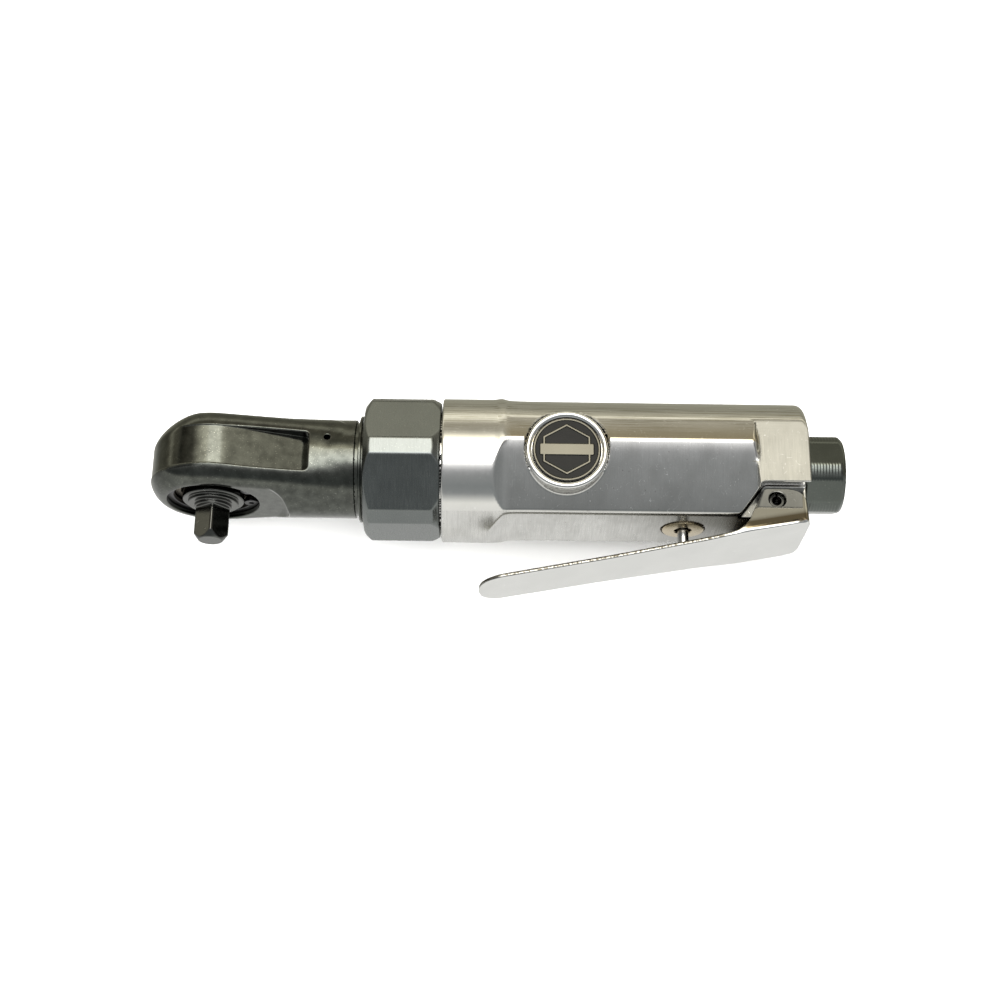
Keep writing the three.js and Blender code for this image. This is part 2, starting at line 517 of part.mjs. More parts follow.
addPiece('valve_seat', 'brass', ring('x', CHAMBER_RADIUS - GAP, 3.6, 128.6, 130.1, 28));
addPiece('tilt_valve', 'brass', turned('x', [[0, 116.6], [1.1, 117.0], [1.1, 130.6], [2.2, 130.6], [2.2, 131.4],
  [5.2, 131.4], [5.2, 133.0], [2.4, 133.4], [0, 133.4]], 20));
addPiece('valve_face_seal', 'rubber', ring('x', 5.0, 2.5, 130.5, 131.1, 20));
addPiece('valve_spring', 'springSteel', coil(4.2, 0.4, 133.8, 139.3, 4));

const INLET_FRONT_X = BARREL_END_X + GAP;
const INLET_END_X = 157.6;

function inletBushing() {
  const landHalfAngle = 30 - THREE.MathUtils.radToDeg(Math.acos(INLET_FLAT / INLET_LAND_RADIUS));
  const hexagon = slab('x', hexagonWithLands(INLET_LAND_RADIUS, -16, landHalfAngle), INLET_FRONT_X, INLET_END_X);
  const chamfer = turned('x', [[0, INLET_FRONT_X], [INLET_LAND_RADIUS, INLET_FRONT_X],
    [INLET_LAND_RADIUS, INLET_END_X - 0.9], [9.0, INLET_END_X], [0, INLET_END_X]], 24);
  const mouth = turned('x', [[0, 138], [4.2, 138], [4.2, 145.4], [5.7, 145.4], [5.7, 156.9], [6.3, 159],
    [0, 159]], 24);
  return cut(join(common(hexagon, chamfer), rod('x', INLET_THREAD_BORE - GAP, 139.8, 148, 24)), mouth);
}
addPiece('inlet_bushing', 'blackOxide', inletBushing());

function inletScreen() {
  const holes = [[0, 0]];
  for (let i = 0; i < 4; i += 1) holes.push(polar(2.0, 90 * i));
  for (let i = 0; i < 8; i += 1) holes.push(polar(3.9, 45 * i + 22.5));
  return slab('x', circle(5.4, 20), 145.7, 146.4, holes.map((centre) => circle(0.7, 6, centre)));
}
addPiece('inlet_screen', 'brass', inletScreen());

// ---- Throttle lever ----------------------------------------------------------------------

// A bent sheet: a web that widens towards the pivot, and two ears that lean in against the tongue.
function throttleLever() {
  const tilt = Math.atan(LEVER_SLOPE);
  const along = (x) => (x - LEVER_TIP_X) / Math.cos(tilt);
  const tipCorner = 6.5;
  const halfPlan = [[along(75), 8.2], [along(101), 8.5], [along(123), 10.0], [along(132), 11.9],
    [along(LEVER_REAR_X - 3.5), 11.9], ...arc([along(LEVER_REAR_X) - 3.5, 8.4], 3.5, 75, 0, 4)];
  const edge = [...arc([tipCorner, 8.2 - tipCorner], tipCorner, 180, 90, 5), ...halfPlan];
  const plan = [...edge, ...edge.map(([s, z]) => [s, -z]).reverse()];
  const web = slab('y', plan, 0, LEVER_SHEET).rotateZ(tilt).translate(LEVER_TIP_X, LEVER_TIP_Y, 0);
  const outerFaceY = (x) => LEVER_TIP_Y + LEVER_SLOPE * (x - LEVER_TIP_X);
  const earOutline = [[129.5, outerFaceY(129.5) + 0.4], [133.0, -17.0], [137.0, -7.5],
    ...arc([LEVER_REAR_X - 4.7, -12.2], 4.7, 90, 0, 5), [LEVER_REAR_X, outerFaceY(LEVER_REAR_X) + 0.4]];
  const earSection = (side) => [[-7, side * 8.54], [-7, side * 9.76], [-23, side * 12.58], [-23, side * 11.36]];
  const ear = (side) => common(slab('z', earOutline, -13, 13), slab('x', earSection(side), 125, 150));
  return cut(join(web, ear(1), ear(-1)), rod('z', 2.15, -12, 12, 16).translate(PIVOT_X, PIVOT_Y, 0));
}
addPiece('throttle_lever', 'nickel', throttleLever());

// A slit spring pin.
function leverPin() {
  const slit = slab('z', rectangle(-0.25, 0.25, 0.5, 3), -12, 12);
  return cut(ring('z', 1.95, 1.1, -10.4, 10.4, 18), slit);
}
addPiece('lever_pin', 'steel', leverPin(), (mesh) => mesh.position.set(PIVOT_X, PIVOT_Y, 0));

export default model;
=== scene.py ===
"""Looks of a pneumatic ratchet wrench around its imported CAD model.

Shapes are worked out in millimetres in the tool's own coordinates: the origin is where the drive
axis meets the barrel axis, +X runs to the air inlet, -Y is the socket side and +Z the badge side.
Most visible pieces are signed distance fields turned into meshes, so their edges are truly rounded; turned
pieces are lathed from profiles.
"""
import json
import math

import bmesh
import bpy
import numpy as np
from mathutils import Matrix, Vector

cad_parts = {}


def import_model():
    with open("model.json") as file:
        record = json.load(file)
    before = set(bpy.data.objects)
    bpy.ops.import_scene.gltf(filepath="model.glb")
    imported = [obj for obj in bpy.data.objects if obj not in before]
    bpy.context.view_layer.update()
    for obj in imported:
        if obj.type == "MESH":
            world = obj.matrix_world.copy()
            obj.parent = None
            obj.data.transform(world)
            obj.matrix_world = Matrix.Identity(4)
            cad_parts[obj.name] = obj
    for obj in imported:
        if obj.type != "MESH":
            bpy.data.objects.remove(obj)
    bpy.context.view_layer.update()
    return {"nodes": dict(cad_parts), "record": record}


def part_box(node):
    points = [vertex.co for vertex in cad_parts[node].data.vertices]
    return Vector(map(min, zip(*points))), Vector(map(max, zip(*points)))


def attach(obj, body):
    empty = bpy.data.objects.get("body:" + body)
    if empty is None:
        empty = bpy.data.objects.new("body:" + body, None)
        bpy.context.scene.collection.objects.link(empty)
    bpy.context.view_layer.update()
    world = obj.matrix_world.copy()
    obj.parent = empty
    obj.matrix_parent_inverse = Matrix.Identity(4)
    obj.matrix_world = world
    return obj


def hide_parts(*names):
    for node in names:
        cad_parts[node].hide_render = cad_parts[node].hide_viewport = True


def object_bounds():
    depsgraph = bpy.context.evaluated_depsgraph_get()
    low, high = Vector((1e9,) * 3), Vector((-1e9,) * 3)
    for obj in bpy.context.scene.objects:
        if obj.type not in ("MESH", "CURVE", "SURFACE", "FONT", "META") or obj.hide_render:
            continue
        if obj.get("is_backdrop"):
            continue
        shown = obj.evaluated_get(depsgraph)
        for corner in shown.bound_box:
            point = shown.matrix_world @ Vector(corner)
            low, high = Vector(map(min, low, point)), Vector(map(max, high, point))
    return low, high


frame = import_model()

MM = 0.001
RADIANS = math.pi / 180


def node_range(node, axis):
    """Lowest and highest coordinate of a CAD node along one axis, in row millimetres."""
    low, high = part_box(node)
    return low[axis] / MM, high[axis] / MM


# Driving dimensions, read from the frame where the CAD fixes them.
DRIVE_REACH = sum(node_range("neck_bearing", 1)) / 2
HEAD_RADIUS = -node_range("head_housing", 0)[0]
NUT_FRONT, NUT_REAR = node_range("clamp_nut", 0)
BARREL_START, BARREL_END = node_range("motor_housing", 0)
INLET_START, INLET_END = BARREL_END + 0.3, node_range("inlet_bushing", 0)[1]
BADGE_X = sum(node_range("name_bezel", 0)) / 2
BADGE_Y = sum(node_range("name_bezel", 1)) / 2 - DRIVE_REACH
PIVOT_X = sum(node_range("lever_pin", 0)) / 2
PIVOT_Y = sum(node_range("lever_pin", 1)) / 2 - DRIVE_REACH
STEM_X = sum(node_range("valve_stem", 0)) / 2
DETENT_Y = sum(node_range("socket_ball", 1)) / 2 - DRIVE_REACH
LEVER_REAR_X = node_range("throttle_lever", 0)[1]

HEAD_TAPER = 9.9 * RADIANS        # that each side of the head leans in towards the neck
HEAD_END = 34.0
HEAD_FRONT_Y = -9.4               # the milled flat on the socket side
HEAD_BACK_Y = 10.2                # the milled flat on the knob side
SPOT_FACE_RADIUS = 19.0           # of the flats milled round the drive axis
NECK_RADIUS = 12.4
NECK_END = 35.8
COLLAR_END = 50.4                 # of the head's collar inside the clamp nut
SNAP_RING_RADIUS = 9.9            # inside the snap ring, where its lugs sit
SQUARE_HALF = 3.175
SQUARE_TURN = 7 * RADIANS
DETENT_TURN = SQUARE_TURN + 135 * RADIANS
KNOB_TURN = -15 * RADIANS
NUT_CORNER_RADIUS = 18.0
NUT_ACROSS_HALF = 16.54

COLLAR_START = 57.4
BARREL_RADIUS = 18.1
BACK_RADIUS = 18.45               # of the grip's round back
BACK_CENTRE_Y = -0.8
BACK_EDGE_ANGLE = 30.0            # degrees from +Z to where the round back begins
FLATS_START = 72.9
FLATS_END = 133.9
RAMP_SLOPE = 0.364                # how fast the flats run out towards the collar
RIDGE = (18.12, 1.48)             # (|z|, y) where the facets beside each ridge would meet
FLOOR_CORNER = (10.25, -14.92)    # (|z|, y) of the grip's lower edges
UPPER_FACET_ANGLE = 16.5          # degrees that the facet above each ridge leans back
PAD_Z = 16.15                     # half the width over the milled cheeks
TONGUE_HALF = 8.4                 # half the width of what is left between the lever's ears
POCKET_X = 130.4                  # where the pocket for the lever's ear starts in the grip's floor
POCKET_RUN, POCKET_RISE = 5.2, 6.77
BADGE_BOSS_RADIUS = 10.3
BADGE_BOSS_Z = 15.2
BADGE_BASE_Z = BADGE_BOSS_Z + 0.25

LEVER_TIP = (67.1, -32.1)
LEVER_TILT = math.atan(0.189)
LEVER_SHEET = 1.2
PIN_HOLE_RADIUS = 2.15


# ---- Signed distance fields ------------------------------------------------------------------

def meet(a, b, fillet=0.0):
    """Intersection of two fields, with its edge rounded."""
    if np.all(fillet == 0.0):
        return np.maximum(a, b)
    corner = np.hypot(np.maximum(a + fillet, 0), np.maximum(b + fillet, 0))
    return np.minimum(np.maximum(a, b), -fillet) + corner


def unite(a, b, fillet=0.0):
    return -meet(-a, -b, fillet)


def carve(a, b, fillet=0.0):
    return meet(a, -b, fillet)


def between(value, low, high):
    return np.maximum(low - value, value - high)


def polygon(a, b, points):
    """Distance to a closed outline in two coordinates, negative inside."""
    nearest = np.full(a.shape, 1e9)
    inside = np.zeros(a.shape, bool)
    for (a0, b0), (a1, b1) in zip(points, points[1:] + points[:1]):
        da, db = a1 - a0, b1 - b0
        along = np.clip(((a - a0) * da + (b - b0) * db) / (da * da + db * db), 0, 1)
        nearest = np.minimum(nearest, (a - a0 - along * da) ** 2 + (b - b0 - along * db) ** 2)
        if db != 0:
            crosses = (b0 > b) != (b1 > b)
            inside ^= crosses & (a < a0 + (b - b0) * da / db)
    distance = np.sqrt(nearest)
    return np.where(inside, -distance, distance)


def smoothstep(value, low, high):
    t = np.clip((value - low) / (high - low), 0, 1)
    return t * t * (3 - 2 * t)


def hexagon(y, z, flat_half, land_radius, turn, fillet):
    """A hexagon whose corners, the first `turn` degrees from +Z towards +Y, are cut to narrow lands."""
    angle = np.degrees(np.arctan2(y, z)) - turn
    folded = np.abs((angle % 60) - 30) * RADIANS
    radius = np.hypot(y, z)
    land = radius * np.cos(30 * RADIANS - folded) - land_radius
    return meet(radius * np.cos(folded) - flat_half, land, fillet)


# ---- From a field to a mesh ------------------------------------------------------------------

CELL_CORNERS = [(i, j, k) for i in (0, 1) for j in (0, 1) for k in (0, 1)]


def slope(field, points, step=0.02):
    """The field's gradient at each point."""
    gradient = np.empty_like(points)
    for axis in range(3):
        shift = np.zeros(3)
        shift[axis] = step
        ahead = field(*(points + shift).T)
        behind = field(*(points - shift).T)
        gradient[:, axis] = (ahead - behind) / (2 * step)
    return gradient


def sample(field, low, counts, step, slab=16):
    """The field at every grid point, worked out a slab of layers at a time."""
    axes = [low[i] + step * np.arange(counts[i]) for i in range(3)]
    values = np.empty(counts, np.float32)
    for i in range(0, counts[0], slab):
        x, y, z = np.meshgrid(axes[0][i:i + slab], axes[1], axes[2], indexing="ij")
        values[i:i + slab] = field(x.ravel(), y.ravel(), z.ravel()).reshape(x.shape)
    return values


def corner_view(grid, corner):
    """The grid's values at the given corner of every cell."""
    return grid[tuple(slice(c, n - 1 + c) for c, n in zip(corner, grid.shape))]


def crossing_means(values, active, low, step):
    """A point in each active cell: the mean of where its edges cross the surface."""
    cells = np.argwhere(active)
    summed = np.zeros((len(cells), 3))
    crossings = np.zeros(len(cells))
    for corner in CELL_CORNERS:
        for axis in range(3):
            if corner[axis]:
                continue
            far = list(corner)
            far[axis] = 1
            v0 = corner_view(values, corner)[active]
            v1 = corner_view(values, far)[active]
            cut = (v0 < 0) != (v1 < 0)
            t = np.where(cut, v0 / np.where(cut, v0 - v1, 1), 0)
            point = (cells + np.array(corner)).astype(float)
            point[:, axis] += t
            summed[cut] += point[cut]
            crossings += cut
    return low + step * summed / crossings[:, None]


def settle(field, points, step, rounds=4):
    """Moves the points onto the surface, each by under half a step in every round."""
    for _ in range(rounds):
        gradient = slope(field, points)
        square = np.maximum((gradient ** 2).sum(1), 0.05)
        move = -(field(*points.T) / square)[:, None] * gradient
        length = np.linalg.norm(move, axis=1)
        points += move * np.minimum(1, 0.4 * step / np.maximum(length, 1e-9))[:, None]
    return points


def net_quads(inside, index):
    """One quad round each grid edge that crosses the surface, facing outwards."""
    counts = inside.shape
    quads = []
    for axis in range(3):
        first, second = [d for d in range(3) if d != axis]
        here = [slice(1, n - 1) for n in counts]
        there = list(here)
        here[axis] = slice(0, counts[axis] - 1)
        there[axis] = slice(1, counts[axis])
        a, b = inside[tuple(here)], inside[tuple(there)]
        for flip, edges in ((False, a & ~b), (True, ~a & b)):
            at = np.argwhere(edges)
            at[:, first] += 1
            at[:, second] += 1
            ring = []
            for shift in ((0, 0), (-1, 0), (-1, -1), (0, -1)):
                cell = at.copy()
                cell[:, first] += shift[0]
                cell[:, second] += shift[1]
                ring.append(index[tuple(cell.T)])
            quad = np.stack(ring, 1)
            if flip != (axis == 1):
                quad = quad[:, ::-1]
            quads.append(quad)
    return np.concatenate(quads)


def surface_net(field, low, high, step):
    """Vertices, quads and normals of the surface where the field is zero."""
    counts = np.ceil((high - low) / step).astype(int) + 1
    values = sample(field, low, counts, step)
    inside = values < 0
    total = sum(corner_view(inside, corner).astype(np.int8) for corner in CELL_CORNERS)
    active = (total > 0) & (total < len(CELL_CORNERS))
    index = np.full(active.shape, -1, np.int64)
    index[active] = np.arange(np.count_nonzero(active))
    points = settle(field, crossing_means(values, active, low, step), step)
    normals = slope(field, points, 0.05)
    normals /= np.maximum(np.linalg.norm(normals, axis=1), 1e-9)[:, None]
    return points, net_quads(inside, index), normals


def new_object(name, points, faces, normals=None):
    """A smooth-shaded object whose points are given in the tool's own millimetres."""
    in_row = (points + np.array([0, DRIVE_REACH, 0])) * MM
    mesh = bpy.data.meshes.new(name)
    mesh.from_pydata(in_row.tolist(), [], faces)
    mesh.polygons.foreach_set("use_smooth", [True] * len(mesh.polygons))
    if normals is not None:
        mesh.normals_split_custom_set_from_vertices(normals.tolist())
    piece = bpy.data.objects.new(name, mesh)
    bpy.context.scene.collection.objects.link(piece)
    return piece


def place(piece, material, body, node):
    """Gives a piece its material and body, and lets it stand for a CAD node."""
    piece.data.materials.append(material)
    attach(piece, body)
    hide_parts(node)


def sculpt(name, field, step, material, body, node, margin=1.0):
    """Meshes a field inside its CAD node's box and lets it stand for that node."""
    low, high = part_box(node)
    shift = np.array([0, DRIVE_REACH, 0])
    low = np.array(low) / MM - shift - margin
    high = np.array(high) / MM - shift + margin
    points, quads, normals = surface_net(field, low, high, step)
    place(new_object(name, points, quads.tolist(), normals), material, body, node)


def lathe(name, axis, centre, profile, material, body, node, sides=128, closed=True):
    """A turned piece. Each profile point is (radius, distance along the axis)."""
    angles = np.arange(sides) * 2 * math.pi / sides
    points = []
    for radius, along in profile:
        for angle in angles:
            a, b = radius * math.cos(angle), radius * math.sin(angle)
            points.append({"x": (along, a, b), "y": (b, along, a), "z": (a, b, along)}[axis])
    rings = len(profile)
    faces = []
    for i in range(rings if closed else rings - 1):
        j = (i + 1) % rings
        for k in range(sides):
            m = (k + 1) % sides
            faces.append((i * sides + k, i * sides + m, j * sides + m, j * sides + k))
    if not closed:
        faces.append(tuple(range(sides - 1, -1, -1)))
        faces.append(tuple((rings - 1) * sides + k for k in range(sides)))
    piece = new_object(name, np.array(points) + np.array(centre), faces)
    piece.data.validate()
    work = bmesh.new()
    work.from_mesh(piece.data)
    bmesh.ops.recalc_face_normals(work, faces=work.faces)
    work.to_mesh(piece.data)
    work.free()
    piece.data.set_sharp_from_angle(angle=35 * RADIANS)
    place(piece, material, body, node)


# ---- Materials -------------------------------------------------------------------------------

class Nodes:
    """A node tree, with short ways to add to it."""

    def __init__(self, owner):
        owner.use_nodes = True
        self.tree = owner.node_tree

    def fill(self, socket, value):
        """Links another socket to this one, or sets it to a constant."""
        if isinstance(value, bpy.types.NodeSocket):
            self.tree.links.new(value, socket)
        else:
            socket.default_value = value

    def add(self, kind, inputs=None, **settings):
        node = self.tree.nodes.new(kind)
        for key, value in settings.items():
            setattr(node, key, value)
        for key, value in (inputs or {}).items():
            self.fill(node.inputs[key], value)
        return node

    def split(self, vector):
        return self.add("ShaderNodeSeparateXYZ", {0: vector}).outputs

    def math(self, operation, a, b=0.0):
        return self.add("ShaderNodeMath", {0: a, 1: b}, operation=operation).outputs[0]

    def product(self, first, *others):
        for other in others:
            first = self.math("MULTIPLY", first, other)
        return first

    def remap(self, value, low, high, to_low, to_high):
        inputs = {"Value": value, "From Min": low, "From Max": high, "To Min": to_low, "To Max": to_high}
        return self.add("ShaderNodeMapRange", inputs).outputs["Result"]

    def rise(self, value, low, high, level=1.0):
        """0 up to the first limit, and the given level past the second."""
        return self.remap(value, low, high, 0, level)

    def fall(self, value, low, high, level=1.0):
        """The given level up to the first limit, and 0 past the second."""
        return self.remap(value, low, high, level, 0)


class Shader(Nodes):
    """One material's node tree."""

    def __init__(self, start):
        self.material = bpy.data.materials.new(start) if isinstance(start, str) else start
        super().__init__(self.material)
        self.surface = self.tree.nodes["Principled BSDF"]
        self.place = self.add("ShaderNodeTexCoord").outputs["Object"]

    def noise(self, scale, detail=3.0, stretch=(1, 1, 1), rough=0.55):
        vector = self.add("ShaderNodeMapping", {"Vector": self.place, "Scale": stretch}).outputs["Vector"]
        inputs = {"Vector": vector, "Scale": scale, "Detail": detail, "Roughness": rough}
        return self.add("ShaderNodeTexNoise", inputs).outputs["Fac"]

    def mix(self, factor, a, b):
        return self.add("ShaderNodeMix", {"Factor": factor, 6: a, 7: b}, data_type="RGBA").outputs[2]

    def coats(self, paint, *layers):
        """Lays each (mask, tone) over the paint in turn."""
        for mask, tone in layers:
            paint = self.mix(mask, paint, tone)
        return paint

    def set(self, socket, value):
        self.fill(self.surface.inputs[socket], value)

    def bump(self, height, strength, distance, previous=None):
        inputs = {"Height": height, "Strength": strength, "Distance": distance}
        if previous is not None:
            inputs["Normal"] = previous
        return self.add("ShaderNodeBump", inputs).outputs["Normal"]

    def scratches(self, scale, width, density):
        """Thin wandering lines: 1 on a scratch, 0 elsewhere."""
        field = self.noise(scale, 0.0)
        line = self.fall(self.math("ABSOLUTE", self.math("SUBTRACT", field, 0.5)), 0, width)
        patch = self.rise(self.noise(scale * 2.3, 1.0), density, density + 0.05)
        return self.product(line, patch)


def colour(r, g, b):
    return (r, g, b, 1.0)


SPECK = colour(0.62, 0.62, 0.55)
BARE_SCRATCH = colour(0.95, 0.95, 0.93)


def metal(name, base, variation, roughness, streak=None, streak_depth=0.0, grain=0.0, specks=0.0,
          scratch=0.0, blotch_scale=90.0):
    """A metal with tone variation, directional streaks, a fine grain, light specks and scratches."""
    shader = Shader(name)
    shader.set("Metallic", 1.0)
    tone = shader.noise(blotch_scale, 4.0)
    dark = colour(*(c * (1 - variation) for c in base))
    light = colour(*(min(1, c * (1 + variation)) for c in base))
    paint = shader.mix(shader.rise(tone, 0.3, 0.7), dark, light)
    rough = shader.remap(tone, 0.3, 0.7, roughness[0], roughness[1])
    normal = None
    if streak is not None:
        lines = shader.noise(1.0, 3.0, streak, 0.7)
        rough = shader.math("ADD", rough, shader.remap(lines, 0.3, 0.7, -0.05, 0.07))
        paint = shader.mix(shader.rise(lines, 0.35, 0.75, 0.35), paint, light)
        normal = shader.bump(lines, streak_depth, 0.0001)
    if grain:
        normal = shader.bump(shader.noise(5200, 2.0), grain, 0.00001, normal)
    if specks:
        paint = shader.mix(shader.rise(shader.noise(3800, 1.0), 0.69, 0.74, specks), paint, SPECK)
    if scratch:
        lines = shader.scratches(260, 0.004, 0.56)
        paint = shader.mix(shader.product(lines, scratch), paint, BARE_SCRATCH)
        rough = shader.math("ADD", rough, shader.product(lines, 0.12))
        normal = shader.bump(lines, -0.25 * scratch, 0.00006, normal)
    shader.set("Base Color", paint)
    shader.set("Roughness", rough)
    if normal is not None:
        shader.set("Normal", normal)
    return shader.material


def casting(name):
    """Buffed cast aluminium: brushed round the barrel, drawn along the back, milled on the cheeks, with
    painted shade under the rear and on the tongue's sides and a painted reflection above each ridge.
    """
    shader = Shader(name)
    x, y, z = shader.split(shader.place)
    up = shader.math("SUBTRACT", y, DRIVE_REACH * MM)
    width = shader.math("ABSOLUTE", z)
    ridge, edge, pad = RIDGE[1] * MM, FLOOR_CORNER[1] * MM, PAD_Z * MM
    flats_start, flats_end = FLATS_START * MM, FLATS_END * MM
    tongue_half, pocket_x = TONGUE_HALF * MM, POCKET_X * MM
    pocket_top = edge + POCKET_RISE * MM
    tongue_end = 0.147

    # Where each finish lies, and where shade and reflection are painted.
    beside_flats = shader.rise(x, flats_start - 0.0004, flats_start + 0.0016)
    milled = shader.product(shader.rise(x, flats_end - 0.0009, flats_end - 0.0003),
                            shader.rise(width, pad - 0.0001, pad - 0.00005),
                            shader.fall(width, pad + 0.00005, pad + 0.0001))
    underside = shader.fall(up, edge + 0.0001, edge + 0.0003)
    facet = shader.product(shader.rise(up, edge + 0.0003, edge + 0.0006),
                           shader.fall(up, ridge - 0.0006, ridge), beside_flats)
    lower_sides = shader.math("MAXIMUM", underside, facet)
    facet_bottom = shader.product(facet, shader.rise(up, -0.003, edge, 0.55))
    # Painted shade: the underside is painted darker towards the rear, near the lever.
    painted_shade_under_rear = shader.product(underside, shader.rise(x, 0.098, 0.126, 0.7))
    # Painted reflection: a brownish band is painted on the upper facet just above each ridge.
    painted_reflection_above_ridge = shader.product(shader.rise(up, ridge, ridge + 0.0002),
                                 shader.fall(up, ridge + 0.0015, ridge + 0.0055, 0.75), beside_flats)
    # Painted shade: the tongue's sides, deep in the ear pocket, are painted nearly black.
    tongue = shader.product(shader.fall(width, tongue_half + 0.0002, tongue_half + 0.0005),
                            shader.fall(up, pocket_top, pocket_top + 0.0008),
                            shader.rise(x, pocket_x - 0.0004, pocket_x - 0.0001),
                            shader.fall(x, tongue_end - 0.0002, tongue_end + 0.0002))
    back = shader.rise(up, 0.002, 0.007)

    # Brushing, blotches, scratches and pits.
    tone = shader.noise(110, 4.0)
    round_lines = shader.noise(1.0, 3.0, (3600, 150, 150), 0.6)
    long_lines = shader.noise(1.0, 4.0, (60, 3000, 3000), 0.65)
    lines = shader.add("ShaderNodeMix", {"Factor": back, 2: round_lines, 3: long_lines}).outputs[0]
    drawn = shader.product(back, shader.rise(long_lines, 0.52, 0.32, 0.85))
    brushed = shader.product(shader.rise(round_lines, 0.42, 0.68, 0.45), lower_sides)
    blotches = shader.rise(shader.noise(210, 4.0, (1, 0.6, 0.6)), 0.42, 0.68, 0.5)
    marks = shader.math("MAXIMUM", shader.scratches(330, 0.0035, 0.57), shader.scratches(620, 0.005, 0.60))
    pits = shader.product(shader.rise(shader.noise(900, 1.0), 0.765, 0.785, 0.5), lower_sides)

    cast = shader.mix(shader.rise(tone, 0.3, 0.7), colour(0.585, 0.58, 0.56), colour(0.63, 0.625, 0.605))
    milling = shader.mix(blotches, colour(0.275, 0.27, 0.245), colour(0.235, 0.23, 0.205))
    paint = shader.coats(cast,
                         (drawn, colour(0.30, 0.285, 0.225)),
                         (shader.product(blotches, lower_sides), colour(0.42, 0.415, 0.395)),
                         (brushed, colour(0.46, 0.455, 0.44)),
                         (facet_bottom, colour(0.31, 0.31, 0.30)),
                         # Painted shade under the rear.
                         (painted_shade_under_rear, colour(0.15, 0.145, 0.13)),
                         # Painted reflection above each ridge.
                         (painted_reflection_above_ridge, colour(0.40, 0.35, 0.255)),
                         (milled, milling),
                         # Painted shade on the tongue's sides.
                         (tongue, colour(0.085, 0.085, 0.08)),
                         (shader.product(marks, 0.9), colour(0.9, 0.9, 0.89)),
                         (pits, colour(0.2, 0.19, 0.17)))
    rough = shader.math("ADD", shader.remap(tone, 0.3, 0.7, 0.10, 0.15),
                        shader.remap(lines, 0.3, 0.7, -0.03, 0.05))
    for mask, extra in ((marks, 0.15), (milled, 0.30), (underside, 0.16)):
        rough = shader.math("ADD", rough, shader.product(mask, extra))
    shader.set("Metallic", 1.0)
    shader.set("Base Color", paint)
    shader.set("Roughness", rough)
    shader.set("Normal", shader.bump(marks, -0.2, 0.00006, shader.bump(lines, 0.16, 0.0001)))
    return shader.material


def lever_plate():
    """The lever's plating: speckled on its sheared upper edge, with painted shade in the fold below each ear
    and darker, warmer painted shade on the ears.
    """
    shader = Shader(metal("lever_plate", (0.66, 0.66, 0.645), 0.04, (0.06, 0.12), scratch=0.5))
    plating = shader.surface.inputs["Base Color"].links[0].from_socket
    x, y, _ = shader.split(shader.place)
    run = shader.math("SUBTRACT", x, LEVER_TIP[0] * MM)
    lift = shader.math("SUBTRACT", y, (LEVER_TIP[1] + DRIVE_REACH) * MM)
    height = shader.math("ADD", shader.product(run, -math.sin(LEVER_TILT)),
                         shader.product(lift, math.cos(LEVER_TILT)))
    rear = shader.rise(x, 0.128, 0.132)
    # Painted shade: a dark band is painted in the fold below each ear.
    painted_fold_shade = shader.product(shader.rise(height, 0.0006, 0.0010), shader.fall(height, 0.0026, 0.0042), rear)
    # Painted shade: the upright ears are painted darker and warmer than the blade.
    ears = shader.product(shader.rise(height, 0.0026, 0.0042, 0.7), rear)
    rim = shader.product(shader.rise(height, 0.0002, 0.0004), shader.fall(height, 0.00105, 0.00115),
                         shader.fall(x, 0.126, 0.130))
    speckle = shader.remap(shader.noise(1900, 2.0), 0.40, 0.62, 0.6, 1.0)
    shader.set("Base Color", shader.coats(plating,
                                          # Painted shade in the fold and on the ears.
                                          (painted_fold_shade, colour(0.15, 0.125, 0.085)),
                                          (ears, colour(0.42, 0.40, 0.34)),
                                          (shader.product(rim, speckle), colour(0.06, 0.052, 0.036))))
    return shader.material


def rubber_or_fibre(name, base, roughness, grain_scale):
    shader = Shader(name)
    tone = shader.noise(grain_scale, 4.0)
    dark = colour(*(c * 0.75 for c in base))
    light = colour(*(c * 1.2 for c in base))
    shader.set("Base Color", shader.mix(tone, dark, light))
    shader.set("Roughness", shader.remap(tone, 0.3, 0.7, roughness - 0.08, roughness + 0.08))
    shader.set("Normal", shader.bump(tone, 0.3, 0.0001))
    return shader.material


ACROSS_BARREL = (5200, 260, 260)      # fine streaks that run round the barrel
ROUND_DRIVE = (500, 5000, 500)        # fine streaks that run round the drive axis

CASTING = casting("polished_casting")
OXIDE = metal("black_oxide", (0.080, 0.084, 0.075), 0.3, (0.08, 0.15), grain=0.5, specks=0.25,
              blotch_scale=420.0)
NUT = metal("nut_oxide", (0.155, 0.165, 0.162), 0.1, (0.20, 0.28), ACROSS_BARREL, 0.05, specks=0.2)
NICKEL = metal("nickel_plate", (0.66, 0.66, 0.645), 0.04, (0.06, 0.12), scratch=0.5)
STEEL = metal("ground_steel", (0.10, 0.102, 0.096), 0.15, (0.12, 0.20), ROUND_DRIVE, 0.04, scratch=0.3)
DARK_PIN = metal("dark_pin_steel", (0.045, 0.045, 0.042), 0.15, (0.2, 0.3), grain=0.2)
HARD_STEEL = metal("hardened_steel", (0.30, 0.31, 0.32), 0.1, (0.28, 0.38), grain=0.15)
SPRING_STEEL = metal("spring_steel", (0.09, 0.09, 0.092), 0.12, (0.30, 0.40), grain=0.15)
BRONZE = metal("bearing_bronze", (0.50, 0.43, 0.31), 0.08, (0.22, 0.32), ROUND_DRIVE, 0.12)
OILED_BRONZE = metal("oiled_bronze", (0.11, 0.095, 0.07), 0.1, (0.2, 0.3), ROUND_DRIVE, 0.1)
BRASS = metal("turned_brass", (0.62, 0.49, 0.26), 0.06, (0.2, 0.3), ACROSS_BARREL, 0.1)
INLET = metal("inlet_oxide", (0.105, 0.115, 0.105), 0.12, (0.14, 0.22), specks=0.15)
PIN = metal("pin_steel", (0.5, 0.5, 0.49), 0.06, (0.12, 0.2), scratch=0.3)
